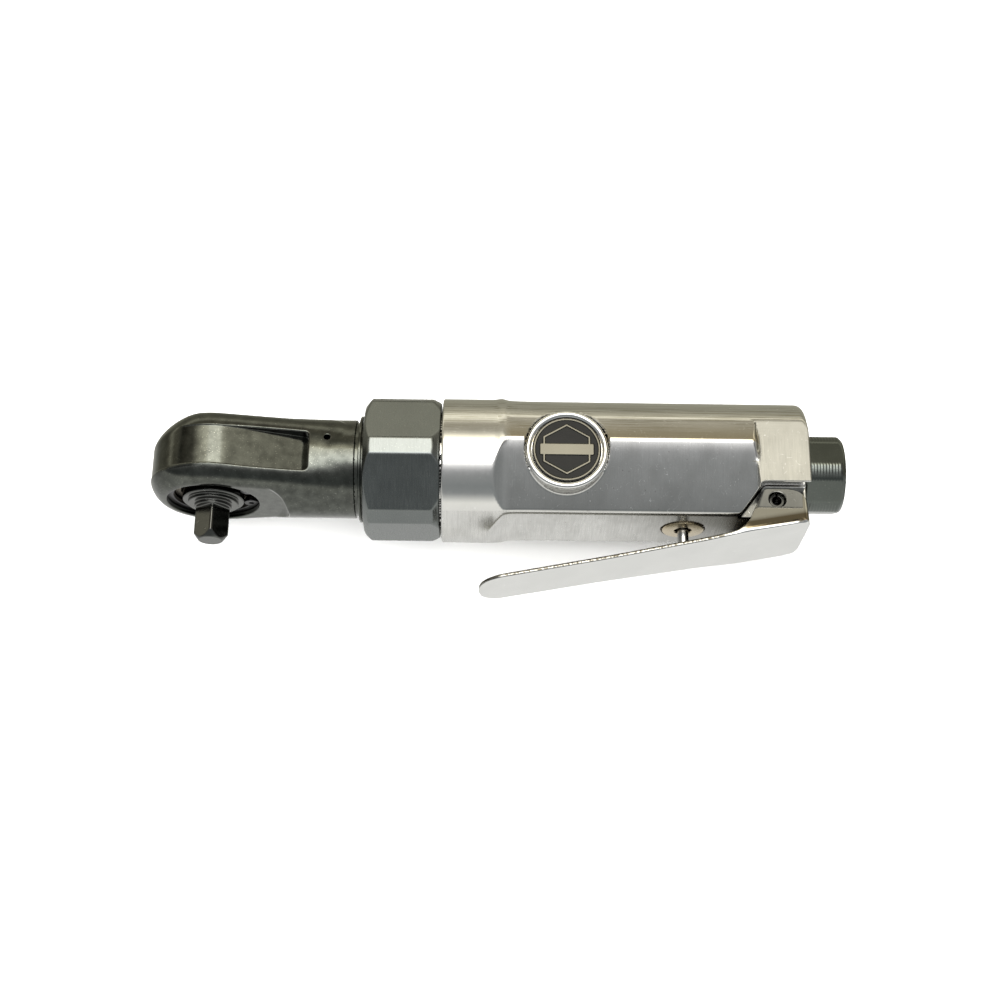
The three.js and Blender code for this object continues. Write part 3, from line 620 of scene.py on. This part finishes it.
PHENOLIC = rubber_or_fibre("phenolic_fibre", (0.22, 0.12, 0.05), 0.55, 900)
RUBBER = rubber_or_fibre("nitrile_rubber", (0.02, 0.02, 0.021), 0.6, 1500)


# ---- Ratchet head ----------------------------------------------------------------------------

def head_plan(x, z, tangent_angle, radius):
    """Plan outline of the head: a round nose with straight sides that narrow towards the neck."""
    s, c = math.sin(tangent_angle), math.cos(tangent_angle)
    side = x * s + np.abs(z) * c - radius
    return np.where(x * c - np.abs(z) * s < 0, np.hypot(x, z) - radius, side)


def head_body(x, y, z):
    """The rounded head on its neck, with the milled flats at both ends of the drive axis."""
    from_drive = np.hypot(x, z)
    outline = meet(head_plan(x, z, HEAD_TAPER, HEAD_RADIUS), x - HEAD_END, 2.0)
    towards_nose = -x / np.maximum(from_drive, 1.0)
    back_round = 6.5 + 3.0 * smoothstep(towards_nose, 0.2, 0.95)
    body = meet(outline, y - 10.45, back_round)
    body = meet(body, -y - 10.25, 6.5)
    neck = meet(np.hypot(y, z) - NECK_RADIUS, between(x, 17.0, 60.0))
    body = unite(body, neck, 1.2)
    spot = from_drive - SPOT_FACE_RADIUS
    body = carve(body, meet(y - HEAD_FRONT_Y, spot, 1.6), 0.5)
    return carve(body, meet(HEAD_BACK_Y - y, spot, 1.6), 0.5)


def head_recess(x, y, z):
    """The shallow band that is let into the head's sides and nose."""
    recess_half, recess_end, depth = 5.0, 24.3, 0.28
    band = meet(np.abs(y) - recess_half, x - recess_end, 1.0)
    return meet(band, -head_plan(x, z, 18.25 * RADIANS, HEAD_RADIUS - depth), 0.15)


def head_bores(x, y, z):
    """The stepped bore for the anvil and knob, with the fork and crank spaces behind it."""
    radial, from_drive = np.hypot(y, z), np.hypot(x, z)
    yoke_room = meet(from_drive - 11.5, y - 6.5)
    post_hole = meet(from_drive - 5.2, y - 20)
    knob_seat = meet(from_drive - 7.2, 8.5 - y)
    drive = unite(unite(yoke_room, post_hole), knob_seat)
    ring_groove = meet(from_drive - 12.3, between(y, -8.15, -6.8))
    fork = np.maximum(between(x, 0, 17.5), np.maximum(np.abs(y) - 4.9, np.abs(z) - 8.6))
    crank_room = meet(radial - 5.6, between(x, 10, 23))
    bearing_seat = meet(radial - 7.6, between(x, 22, 43))
    gear_room = meet(radial - 10.4, 42 - x)
    crank = unite(unite(crank_room, bearing_seat), gear_room)
    return drive, ring_groove, unite(fork, crank)


def head_field(x, y, z):
    radial = np.hypot(y, z)
    recess_edge = 0.15 + 0.4 * smoothstep(x, 0.0, 12.0)
    body = carve(head_body(x, y, z), head_recess(x, y, z), recess_edge)
    neck_groove = meet(11.8 - radial, between(x, NECK_END, NUT_FRONT - 0.1))
    body = carve(body, neck_groove, 0.2)
    collar = meet(radial - 14.3, between(x, 46.0, COLLAR_END), 0.3)
    body = unite(meet(body, x - COLLAR_END), collar)
    drive, ring_groove, crank_space = head_bores(x, y, z)
    body = carve(body, drive, 0.25)
    body = carve(body, ring_groove, 0.1)
    body = carve(body, crank_space)
    grease_x, grease_turn, grease_radius = 28.9, 17.6 * RADIANS, 0.8
    off_axis = np.hypot(x - grease_x, y * math.cos(grease_turn) - z * math.sin(grease_turn))
    return carve(body, meet(off_axis - grease_radius, 6.0 - z), 0.15)


sculpt("ratchet_head", head_field, 0.22, OXIDE, "barrel", "head_housing")


def snap_ring_field(x, y, z):
    """A flat ring, open towards the neck between two drilled lugs."""
    radius = np.hypot(x, z)
    ring = meet(radius - 12.1, SNAP_RING_RADIUS - radius)
    mouth = np.abs(z) - np.abs(x) * math.tan(16 * RADIANS)
    ring = carve(ring, np.maximum(mouth, -x))
    lug_x = SNAP_RING_RADIUS * math.cos(24 * RADIANS)
    lug_z = SNAP_RING_RADIUS * math.sin(24 * RADIANS)
    for side in (-1, 1):
        lug = np.hypot(x - lug_x, z - side * lug_z)
        ring = carve(unite(ring, lug - 1.9, 0.3), lug - 0.65)
    return meet(ring, between(y, -8.0, -6.95), 0.15)


washer_profile = [(8.1, -6.5), (8.25, -6.65), (11.05, -6.65), (11.2, -6.5), (11.2, -5.7), (11.05, -5.55),
                  (8.25, -5.55), (8.1, -5.7)]
sculpt("bore_snap_ring", snap_ring_field, 0.15, SPRING_STEEL, "barrel", "head_snap_ring",
       0.4)
lathe("thrust_washer", "y", (0, 0, 0), washer_profile, OILED_BRONZE, "barrel",
      "anvil_thrust_washer")


def drive_square(x, y, z):
    """The square end, with rounded corners and a chamfered tip."""
    radius = np.hypot(x, z)
    turn = math.pi / 4 + SQUARE_TURN
    u = np.abs(x * math.cos(turn) - z * math.sin(turn))
    v = np.abs(x * math.sin(turn) + z * math.cos(turn))
    square = meet(meet(u, v) - SQUARE_HALF, radius - 4.25, 0.25)
    end_chamfer = (radius - 3.0 - (y + DRIVE_REACH) * 0.75) * 0.8
    return meet(meet(square, end_chamfer, 0.15), between(y, -DRIVE_REACH, 0), 0.12)


def anvil_field(x, y, z):
    """The anvil, with its holes for the knob, pawl, pawl pin and detent ball."""
    radius = np.hypot(x, z)
    journal = meet(radius - 7.7, between(y, -9.2, 5.9), 0.45)
    flange = meet(radius - 10.2, between(y, -5.25, -4.5))
    wide_step = meet(radius - 6.3, between(y, -10.1, 0), 0.25)
    narrow_step = meet(radius - 4.65, between(y, -11.1, 0), 0.3)
    knob_sleeve = meet(radius - 4.9, between(y, 0, 8.3), 0.2)
    body = unite(journal, flange)
    body = unite(body, wide_step, 0.15)
    body = unite(body, narrow_step, 0.2)
    body = unite(body, knob_sleeve)
    body = unite(body, drive_square(x, y, z), 0.35)
    knob_hole = meet(radius - 3.2, -3.2 - y)
    pawl_slot = np.maximum(2.9 - x, np.maximum(np.abs(z) - 6.5, np.abs(y) - 3.2))
    pawl_pin_hole = meet(np.hypot(x - 5.6, z) - 1.35, -4.9 - y)
    for hole in (knob_hole, pawl_slot, pawl_pin_hole):
        body = carve(body, hole)
    sin, cos = math.sin(DETENT_TURN), math.cos(DETENT_TURN)
    across = np.hypot(x * cos - z * sin, y - DETENT_Y)
    depth = x * sin + z * cos
    return carve(body, meet(across - 1.4, -1.8 - depth), 0.12)


sculpt("drive_anvil", anvil_field, 0.18, STEEL, "anvil", "anvil", 0.4)


def knob_field(x, y, z):
    """A knurled disc with a raised grip bar, on the post that carries the plunger."""
    radius = np.hypot(x, z)
    along = x * math.cos(KNOB_TURN) - z * math.sin(KNOB_TURN)
    across = x * math.sin(KNOB_TURN) + z * math.cos(KNOB_TURN)
    knurls = 36
    rim = 6.8 - 0.14 * (0.5 + 0.5 * np.cos(knurls * np.arctan2(z, x)))
    disc = meet(radius - rim, between(y, 8.7, 10.6), 0.35)
    dish = meet(radius - 5.4, 10.15 - y, 0.1)
    disc = carve(disc, dish, 0.25)
    grip = np.hypot(np.maximum(np.abs(along) - 4.4, 0), across) - 1.5
    grip = meet(grip, between(y, 9.0, 11.5), 0.4)
    knob = unite(disc, grip, 0.35)
    post = meet(radius - 2.9, between(y, -2.9, 9.0), 0.2)
    plunger_hole = meet(np.hypot(y, across) - 1.15, -1.8 - along)
    return carve(unite(knob, post), plunger_hole)


sculpt("reversing_knob", knob_field, 0.2, OXIDE, "knob", "reverse_knob", 0.5)

BALL_RADIUS = 1.2
BALL_OFFSET = 2.35                # of the ball's centre from the drive axis
ball_arc = [(BALL_RADIUS * math.cos(a), BALL_RADIUS * math.sin(a)) for a in np.linspace(-1.5, 1.5, 25)]
ball_centre = (BALL_OFFSET * math.sin(DETENT_TURN), DETENT_Y, BALL_OFFSET * math.cos(DETENT_TURN))
lathe("detent_ball", "y", ball_centre, ball_arc, PIN, "detent", "socket_ball", 48, closed=False)


# ---- Clamp nut -------------------------------------------------------------------------------

def nut_field(x, y, z):
    radial = np.hypot(y, z)
    land = NUT_CORNER_RADIUS * math.cos(6.75 * RADIANS)
    body = hexagon(y, z, NUT_ACROSS_HALF, land, -2, 0.2)
    front_bevel = (radial - 16.0) * 0.63 - (x - NUT_FRONT) * 0.78
    rear_bevel = (radial - 16.9) * 0.85 - (NUT_REAR - x) * 0.45
    body = meet(body, front_bevel, 0.3)
    body = meet(body, rear_bevel, 0.2)
    body = meet(body, between(x, NUT_FRONT, NUT_REAR), 0.25)
    neck_hole = meet(radial - 12.8, x - 46)
    collar_seat = radial - 14.7 + np.maximum(45.7 - x, 0) * 50
    return carve(body, unite(neck_hole, collar_seat), 0.25)


ring_profile = [(12.1, 36.7), (13.2, 36.7), (13.45, 36.9), (13.45, 37.3), (13.2, 37.5), (12.1, 37.5)]
sculpt("clamp_nut_body", nut_field, 0.3, NUT, "barrel", "clamp_nut")
lathe("nut_spring_ring", "x", (0, 0, 0), ring_profile, OXIDE, "barrel", "nut_retaining_ring")


# ---- Motor housing ---------------------------------------------------------------------------

def half_plane(y, z, first, second):
    """Distance outward from the line through two (|z|, y) points, listed from back to floor."""
    dz, dy = second[0] - first[0], second[1] - first[1]
    length = math.hypot(dz, dy)
    return ((np.abs(z) - first[0]) * -dy + (y - first[1]) * dz) / length


def round_back(y, z):
    """The rounded back of the grip, carried on as a tangent plane below its first edge."""
    edge = BACK_EDGE_ANGLE * RADIANS
    rise = y - BACK_CENTRE_Y
    tangent = np.abs(z) * math.cos(edge) + rise * math.sin(edge)
    return np.where(np.arctan2(rise, np.abs(z)) > edge, np.hypot(rise, z), tangent) - BACK_RADIUS


def grip_section(y, z, ramp):
    """Cross-section of the grip: a flat floor, two facets on each side and a round back."""
    lean = UPPER_FACET_ANGLE * RADIANS
    upper = (np.abs(z) - RIDGE[0]) * math.cos(lean) + (y - RIDGE[1]) * math.sin(lean) - ramp
    lower = half_plane(y, z, RIDGE, FLOOR_CORNER) - ramp
    # The top 6 mm of the lower facet curves in towards the ridge.
    lower = lower + 0.0015 * np.clip(y - RIDGE[1] + 6.0, 0, 6.4) ** 3 - 0.15
    floor = FLOOR_CORNER[1] - y - ramp
    back = round_back(y, z) - ramp
    section = meet(upper, lower, 0.22)
    section = meet(section, floor, 1.0)
    return meet(section, back, 0.12)


def housing_shell(x, y, z):
    """The round collar, the faceted grip and the rear end with its flat cheeks."""
    radial = np.hypot(y, z)
    before = FLATS_START - x
    ramp = (before + np.hypot(before, 1.3)) * RAMP_SLOPE
    flare = BARREL_RADIUS + 0.3 * smoothstep(x, 69.8, 72.6)
    round_part = np.where(x < FLATS_START + 2.5, radial - flare, -5.0)
    grip = meet(grip_section(y, z, ramp), round_part, 0.25)
    pad_start = FLATS_END + np.clip(10 - y, 0, 20) * 0.08
    on_sides = 1 - smoothstep(y, 3.0, 8.0)
    grip = meet(meet(grip, COLLAR_START - x, 0.5), x - pad_start, 0.02 + 1.4 * on_sides)
    rear = meet(round_back(y, z), x - BARREL_END, 2.0)
    rear = meet(meet(rear, np.abs(z) - PAD_Z, 0.3), between(x, pad_start - 0.6, BARREL_END), 0.4)
    return unite(grip, rear, 0.8 * on_sides)


def ear_pocket(x, y, z):
    """The space beside the rear tongue that the lever's ears reach into."""
    slant = (x - POCKET_X) * POCKET_RISE - (y - FLOOR_CORNER[1]) * POCKET_RUN
    slant = slant / math.hypot(POCKET_RUN, POCKET_RISE)
    ceiling = (y + 8.15) - (PAD_Z - np.abs(z)) * 0.2387
    pocket = meet(-slant, ceiling, 0.5)
    return meet(pocket, TONGUE_HALF - np.abs(z), 0.4)


def housing_bores(x, y, z):
    """The motor bore, the airway to the inlet and the valve stem's bore."""
    radial = np.hypot(y, z)
    motor = meet(radial - 12.6, x - 104)
    air_hole = meet(radial - 4.5, between(x, 100, 129))
    valve_room = meet(radial - 6.9, between(x, 128.3, 140))
    inlet_seat = radial - 7.3 + np.maximum(139.5 - x, 0) * 50
    airway = unite(unite(air_hole, valve_room), inlet_seat)
    from_stem = np.hypot(x - STEM_X, z)
    stem = unite(meet(from_stem - 5.5, y + 14.0), meet(from_stem - 3.7, y + 2.0))
    return unite(unite(motor, airway), stem)


def housing_field(x, y, z):
    from_badge = np.hypot(x - BADGE_X, y - BADGE_Y)
    boss = meet(from_badge - BADGE_BOSS_RADIUS, between(z, 0, BADGE_BOSS_Z), 0.2)
    body = unite(housing_shell(x, y, z), boss, 0.6)
    body = carve(body, meet(from_badge - BADGE_BOSS_RADIUS - 0.1, BADGE_BOSS_Z - z), 0.25)
    below_floor = np.maximum(y - FLOOR_CORNER[1], 125 - x)
    body = carve(body, below_floor)
    body = carve(body, ear_pocket(x, y, z), 0.35)
    spigot = meet(np.hypot(y, z) - 14.4, between(x, BARREL_START, 60), 0.3)
    body = unite(body, spigot)
    body = carve(body, housing_bores(x, y, z), 0.2)
    exhaust_circle, exhaust_radius = 11, 1.5
    for degrees in (35, 62, 90, 118, 145):
        hole_y = exhaust_circle * math.sin(degrees * RADIANS)
        hole_z = exhaust_circle * math.cos(degrees * RADIANS)
        hole = np.hypot(y - hole_y, z - hole_z) - exhaust_radius
        body = carve(body, meet(hole, 103 - x), 0.2)
    return carve(body, np.hypot(x - PIVOT_X, y - PIVOT_Y) - PIN_HOLE_RADIUS, 0.15)


sculpt("grip_casting", housing_field, 0.4, CASTING, "barrel", "motor_housing")


# ---- Badge -----------------------------------------------------------------------------------

bezel_profile = [(8.65, -0.22), (10.25, -0.22), (10.3, -0.15), (10.3, 0.2), (10.22, 0.45), (10.05, 0.66),
                 (9.8, 0.82), (9.5, 0.9), (9.2, 0.86), (8.9, 0.7), (8.65, 0.45)]
lathe("badge_bezel", "z", (BADGE_X, BADGE_Y, 0),
      [(radius, BADGE_BASE_Z + rise) for radius, rise in bezel_profile],
      NICKEL, "barrel", "name_bezel", 160)


def badge_material():
    """Dark enamel with a plain raised hexagon outline, a blank bar and a fine border."""
    shader = Shader("badge_enamel")
    centre = (BADGE_X * MM, (BADGE_Y + DRIVE_REACH) * MM, 0)
    local = shader.add("ShaderNodeVectorMath", {0: shader.place, 1: centre}, operation="SUBTRACT").outputs[0]
    x, y, z = shader.split(local)
    radius = shader.math("SQRT", shader.math("ADD", shader.product(x, x), shader.product(y, y)))
    raised = shader.rise(z, (BADGE_BASE_Z + 0.52) * MM, (BADGE_BASE_Z + 0.58) * MM)
    grain = shader.noise(1.0, 3.0, (400, 9000, 400), 0.7)
    enamel = shader.mix(shader.noise(700, 3.0), colour(0.003, 0.003, 0.003), colour(0.006, 0.006, 0.005))
    bright = shader.mix(grain, colour(0.07, 0.067, 0.055), colour(0.105, 0.1, 0.083))
    shader.set("Base Color", shader.mix(raised, enamel, bright))
    shader.set("Metallic", raised)
    shader.set("Roughness", shader.math("ADD", shader.remap(radius, 0, 0.009, 0.14, 0.2),
                                        shader.rise(grain, 0.3, 0.7, 0.08)))
    shader.set("Normal", shader.bump(grain, 0.06, 0.0001))
    shader.set("Specular IOR Level", 0.1)
    return shader.material


def badge_field(x, y, z):
    dx, dy = x - BADGE_X, y - BADGE_Y
    radius = np.hypot(dx, dy)
    low = BADGE_BASE_Z
    base = meet(radius - 8.5, between(z, low, low + 0.47), 0.08)
    border = meet(np.abs(radius - 7.95) - 0.26, between(z, low + 0.1, low + 0.65), 0.08)
    frame_ring = carve(hexagon(dx, dy, 5.8, 7.1, 0, 0.3), hexagon(dx, dy, 5.25, 6.55, 0, 0.3), 0.05)
    bar = meet(np.abs(dx) - 6.6, np.abs(dy) - 1.5, 0.3)
    emblem = meet(np.minimum(frame_ring, bar), between(z, low + 0.1, low + 0.7), 0.08)
    return unite(unite(base, border), emblem)


sculpt("badge_plate", badge_field, 0.14, badge_material(), "barrel", "name_plate", 0.4)


# ---- Throttle --------------------------------------------------------------------------------

bushing_profile = [(2.15, -15.2), (2.3, -15.4), (4.7, -15.4), (5.05, -15.3), (5.2, -15.1), (5.2, -14.3),
                   (3.4, -14.3), (3.4, -5.0), (2.75, -5.0), (2.75, -7.4), (1.75, -7.4), (1.75, -12.5),
                   (2.15, -12.8)]
stem_profile = [(0.05, -20.9), (0.5, -20.86), (0.9, -20.65), (1.2, -20.3), (1.35, -19.9), (1.4, -19.5),
                (1.4, -4.5), (2.1, -4.3), (2.1, -3.5), (1.4, -3.3), (1.4, -2.9), (1.0, -2.45),
                (0.05, -2.35)]
stem_centre = (STEM_X, 0, 0)
lathe("stem_bushing", "y", stem_centre, bushing_profile, BRONZE, "barrel", "valve_bushing", 96)
lathe("throttle_stem", "y", stem_centre, stem_profile, PIN, "stem", "valve_stem", 64,
      closed=False)


def ear_outline():
    """Side view of the lever's ears, in (x, y): an S-shaped front edge, a flat top and a round corner."""
    rear, top, corner = LEVER_REAR_X, -7.5, 4.7
    front = [(124.0, -24.0), (127.5, -20.0), (129.6, -19.1), (131.4, -17.9), (132.7, -16.2), (133.7, -14.0),
             (136.6, -7.9), (137.3, top), (rear - corner, top)]
    arc = [(rear - corner + corner * math.sin(a), top - corner + corner * math.cos(a))
           for a in np.linspace(0.15, 1.5, 8)]
    return front + arc + [(rear, -18.0), (rear, -24.0)]


def lever_field(x, y, z):
    """A bent sheet: a blade that widens to the rear, with an ear folded up on each side."""
    dx, dy = x - LEVER_TIP[0], y - LEVER_TIP[1]
    along = dx * math.cos(LEVER_TILT) + dy * math.sin(LEVER_TILT)
    above = -dx * math.sin(LEVER_TILT) + dy * math.cos(LEVER_TILT)
    width = np.abs(z)
    half = 8.2
    for widening, start, end in ((0.3, 5, 30), (1.6, 28, 58), (1.8, 54, 68)):
        half = half + widening * smoothstep(along, start, end)
    blade = meet(width - half, -along, 6.5)
    bottom = meet(-above, x - LEVER_REAR_X, 0.6)
    web = meet(meet(blade, x - LEVER_REAR_X - 0.35, 3.8), meet(-above, above - LEVER_SHEET), 0.5)
    lean = 12 * RADIANS
    side = (width - 10.4) * math.cos(lean) + (y - PIVOT_Y) * math.sin(lean)
    side = meet(side, width - half - 0.9 * smoothstep(x, 129.0, 134.0), 0.8)
    outer = meet(side, bottom, 1.5)
    inner = meet(side + LEVER_SHEET, bottom + LEVER_SHEET, 0.6)
    sheet = meet(outer, -inner, 0.25)
    ears = meet(sheet, polygon(x, y, ear_outline()), 0.25)
    lever = unite(web, ears, 0.3)
    return carve(lever, np.hypot(x - PIVOT_X, y - PIVOT_Y) - PIN_HOLE_RADIUS, 0.2)


sculpt("lever_blade", lever_field, 0.26, lever_plate(), "lever", "throttle_lever")


def pin_field(x, y, z):
    """A rolled spring pin: a tube with a slit along it."""
    dx, dy = x - PIVOT_X, y - PIVOT_Y
    radius = np.hypot(dx, dy)
    tube = meet(radius - 1.95, between(z, -9.5, 9.5), 0.25)
    tube = carve(tube, radius - 1.1, 0.15)
    slit = np.maximum(np.abs(dx) - 0.25, -dy)
    return carve(tube, slit)


sculpt("pivot_spring_pin", pin_field, 0.15, DARK_PIN, "barrel", "lever_pin", 0.4)


# ---- Air inlet -------------------------------------------------------------------------------

def inlet_field(x, y, z):
    """A hexagon turned down to fine-grooved lands at its corners, with a threaded bore."""
    radial = np.hypot(y, z)
    around = np.arctan2(y, z)
    folded = np.abs(((np.degrees(around) + 16) % 60) - 30) * RADIANS
    flats = radial * np.cos(folded) - 9.5
    groove_pitch, groove_depth = 0.75, 0.1
    groove = groove_depth / 2 * (1 - np.cos(2 * math.pi * x / groove_pitch))
    body = meet(radial - 10.1 + groove, flats, 0.15)
    end_bevel = (radial - 9.0) * 0.75 - (INLET_END - x) * 0.66
    body = meet(body, end_bevel, 0.25)
    body = meet(body, between(x, INLET_START, INLET_END), 0.2)
    spigot = meet(radial - 7.0, between(x, 139.8, 150))
    turns = x * 0.71 + around / (2 * math.pi)
    thread = 5.7 + 0.35 * np.abs((turns % 1) - 0.5) * 2
    mouth = unite(meet(radial - thread, 145.4 - x), radial - 4.2)
    mouth_bevel = (radial - 6.6) * 0.75 - (x - INLET_END) * 0.66
    return carve(unite(body, spigot), unite(mouth, mouth_bevel), 0.1)


sculpt("inlet_fitting", inlet_field, 0.22, INLET, "barrel", "inlet_bushing", 0.6)


def screen_field(x, y, z):
    """A disc with square holes at an even pitch."""
    radial = np.hypot(y, z)
    pitch, hole_half = 0.95, 0.34
    weave_y = np.abs((y / pitch) % 1 - 0.5) * pitch
    weave_z = np.abs((z / pitch) % 1 - 0.5) * pitch
    holes = np.maximum(meet(hole_half - weave_y, hole_half - weave_z), radial - 4.6)
    disc = meet(radial - 5.4, between(x, 145.7, 146.4), 0.1)
    return carve(disc, holes)


sculpt("inlet_strainer", screen_field, 0.13, BRASS, "barrel", "inlet_screen", 0.3)


# ---- Pieces inside, kept as CAD nodes --------------------------------------------------------

SLOT_LOOKS = {"steel": STEEL, "hard_steel": HARD_STEEL, "spring_steel": SPRING_STEEL, "bronze": BRONZE,
              "brass": BRASS, "phenolic": PHENOLIC, "rubber": RUBBER}
for entry in frame["record"]["subparts"]:
    look = SLOT_LOOKS.get(entry["material_slot"])
    if look is not None:
        kept = frame["nodes"][entry["node"]]
        kept.data.materials.clear()
        kept.data.materials.append(look)


# ---- Floor, light and camera -----------------------------------------------------------------

MIDDLE = (0.07, DRIVE_REACH * MM, 0)


def floor():
    """A pale sheet just under the tool."""
    reach = 3.0
    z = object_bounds()[0][2] - 0.00005
    corners = [(-reach, -reach, z), (reach, -reach, z), (reach, reach, z), (-reach, reach, z)]
    mesh = bpy.data.meshes.new("studio_floor")
    mesh.from_pydata(corners, [], [(0, 1, 2, 3)])
    sheet = bpy.data.objects.new("studio_floor", mesh)
    bpy.context.scene.collection.objects.link(sheet)
    shader = Shader("pale_floor")
    pale = shader.mix(shader.noise(30, 3.0), colour(0.86, 0.86, 0.85), colour(0.9, 0.9, 0.89))
    shader.set("Base Color", pale)
    shader.set("Roughness", 0.7)
    shader.set("Specular IOR Level", 0.2)
    mesh.materials.append(shader.material)
    sheet.visible_glossy = False
    sheet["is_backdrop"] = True


# Brightness of the studio at each angle, in degrees from +Z towards +Y, round the barrel axis.
STUDIO = [(-180, (0.88, 0.88, 0.86)), (-140, (1.08, 1.08, 1.05)), (-100, (1.08, 1.08, 1.06)),
          (-74, (1.2, 1.2, 1.15)), (-66, (0.75, 0.76, 0.74)), (-58, (0.35, 0.37, 0.375)),
          (-46, (0.30, 0.32, 0.325)), (-30, (0.37, 0.385, 0.39)), (-22, (0.48, 0.49, 0.5)),
          (-14, (1.1, 1.1, 1.12)), (-8, (2.4, 2.4, 2.4)), (-3, (4.6, 4.6, 4.5)), (12, (4.2, 4.1, 3.8)),
          (27, (4.0, 3.75, 3.1)), (33, (2.1, 1.95, 1.55)), (40, (0.9, 0.86, 0.72)),
          (46, (0.55, 0.52, 0.42)), (62, (0.52, 0.48, 0.37)), (68, (1.3, 1.24, 1.02)),
          (78, (1.4, 1.33, 1.08)), (84, (0.72, 0.68, 0.53)), (102, (0.4, 0.385, 0.3)),
          (135, (0.39, 0.38, 0.3)), (180, (0.88, 0.88, 0.86))]
BAND_MIDDLE = 13 * RADIANS        # of the bright band overhead


def studio_ramp(nodes, angle):
    turn = nodes.remap(angle, -math.pi, math.pi, 0.0, 1.0)
    ramp = nodes.add("ShaderNodeValToRGB", {"Fac": turn})
    elements = ramp.color_ramp.elements
    elements[0].position = 0.0
    elements[1].position = 1.0
    elements[0].color = colour(*STUDIO[0][1])
    elements[1].color = colour(*STUDIO[-1][1])
    for degrees, shade in STUDIO[1:-1]:
        element = elements.new((degrees + 180) / 360)
        element.color = colour(*shade)
    return ramp.outputs["Color"]


def world():
    """A studio shaded about the barrel axis. Its bright band overhead fades towards the tool's ends."""
    sky = bpy.data.worlds.new("studio")
    bpy.context.scene.world = sky
    nodes = Nodes(sky)
    x, y, z = nodes.split(nodes.add("ShaderNodeTexCoord").outputs["Generated"])
    angle = nodes.math("ARCTAN2", y, z)
    from_band = nodes.math("ABSOLUTE", nodes.math("SUBTRACT", angle, BAND_MIDDLE))
    overhead = nodes.remap(from_band, 24 * RADIANS, 32 * RADIANS, 1.0, 0.3)
    reach = nodes.product(nodes.math("ABSOLUTE", x), overhead)
    fade = nodes.remap(reach, 0.2, 0.55, 1.0, 0.11)
    background = nodes.tree.nodes["Background"]
    nodes.fill(background.inputs["Color"], studio_ramp(nodes, angle))
    nodes.fill(background.inputs["Strength"], fade)
    path = nodes.add("ShaderNodeLightPath")
    shown = background.outputs[0]
    for ray, level in (("Is Camera Ray", 1.1), ("Is Diffuse Ray", 2.8)):
        plain = nodes.add("ShaderNodeBackground", {"Color": colour(level, level, level)})
        choice = {"Fac": path.outputs[ray], 1: shown, 2: plain.outputs[0]}
        shown = nodes.add("ShaderNodeMixShader", choice).outputs[0]
    nodes.fill(nodes.tree.nodes["World Output"].inputs["Surface"], shown)


def softbox():
    light = bpy.data.lights.new("overhead_softbox", "AREA")
    light.shape = "DISK"
    light.size = 0.5
    light.energy = 1.2
    lamp = bpy.data.objects.new("overhead_softbox", light)
    lamp.location = (0.07, 0.25, 0.95)
    aim = Vector(MIDDLE) - lamp.location
    lamp.rotation_euler = aim.to_track_quat("-Z", "Y").to_euler()
    bpy.context.scene.collection.objects.link(lamp)


CAMERA_PITCH = 22 * RADIANS        # tip of the view towards the socket side, away from straight down
CAMERA_DISTANCE = 0.430
CAMERA_ROLL = 0.76 * RADIANS
CAMERA_AIM = Vector((0.0693, DRIVE_REACH * MM, 0))


def camera():
    lens = bpy.data.cameras.new("studio_view")
    lens.sensor_width = 36
    lens.lens = 61.2
    lens.shift_x = 0.010
    lens.shift_y = -0.0288
    lens.clip_start = 0.01
    towards = Vector((0, -math.sin(CAMERA_PITCH), math.cos(CAMERA_PITCH)))
    up = Vector((0, math.cos(CAMERA_PITCH), math.sin(CAMERA_PITCH)))
    x_axis = Vector((1, 0, 0))
    right = x_axis * math.cos(CAMERA_ROLL) + up * math.sin(CAMERA_ROLL)
    top = up * math.cos(CAMERA_ROLL) - x_axis * math.sin(CAMERA_ROLL)
    turn = Matrix((right, top, towards)).transposed().to_4x4()
    holder = bpy.data.objects.new("studio_view", lens)
    holder.matrix_world = Matrix.Translation(CAMERA_AIM + towards * CAMERA_DISTANCE) @ turn
    bpy.context.scene.collection.objects.link(holder)
    bpy.context.scene.camera = holder


floor()
world()
softbox()
camera()
bpy.context.scene.view_settings.view_transform = "Standard"
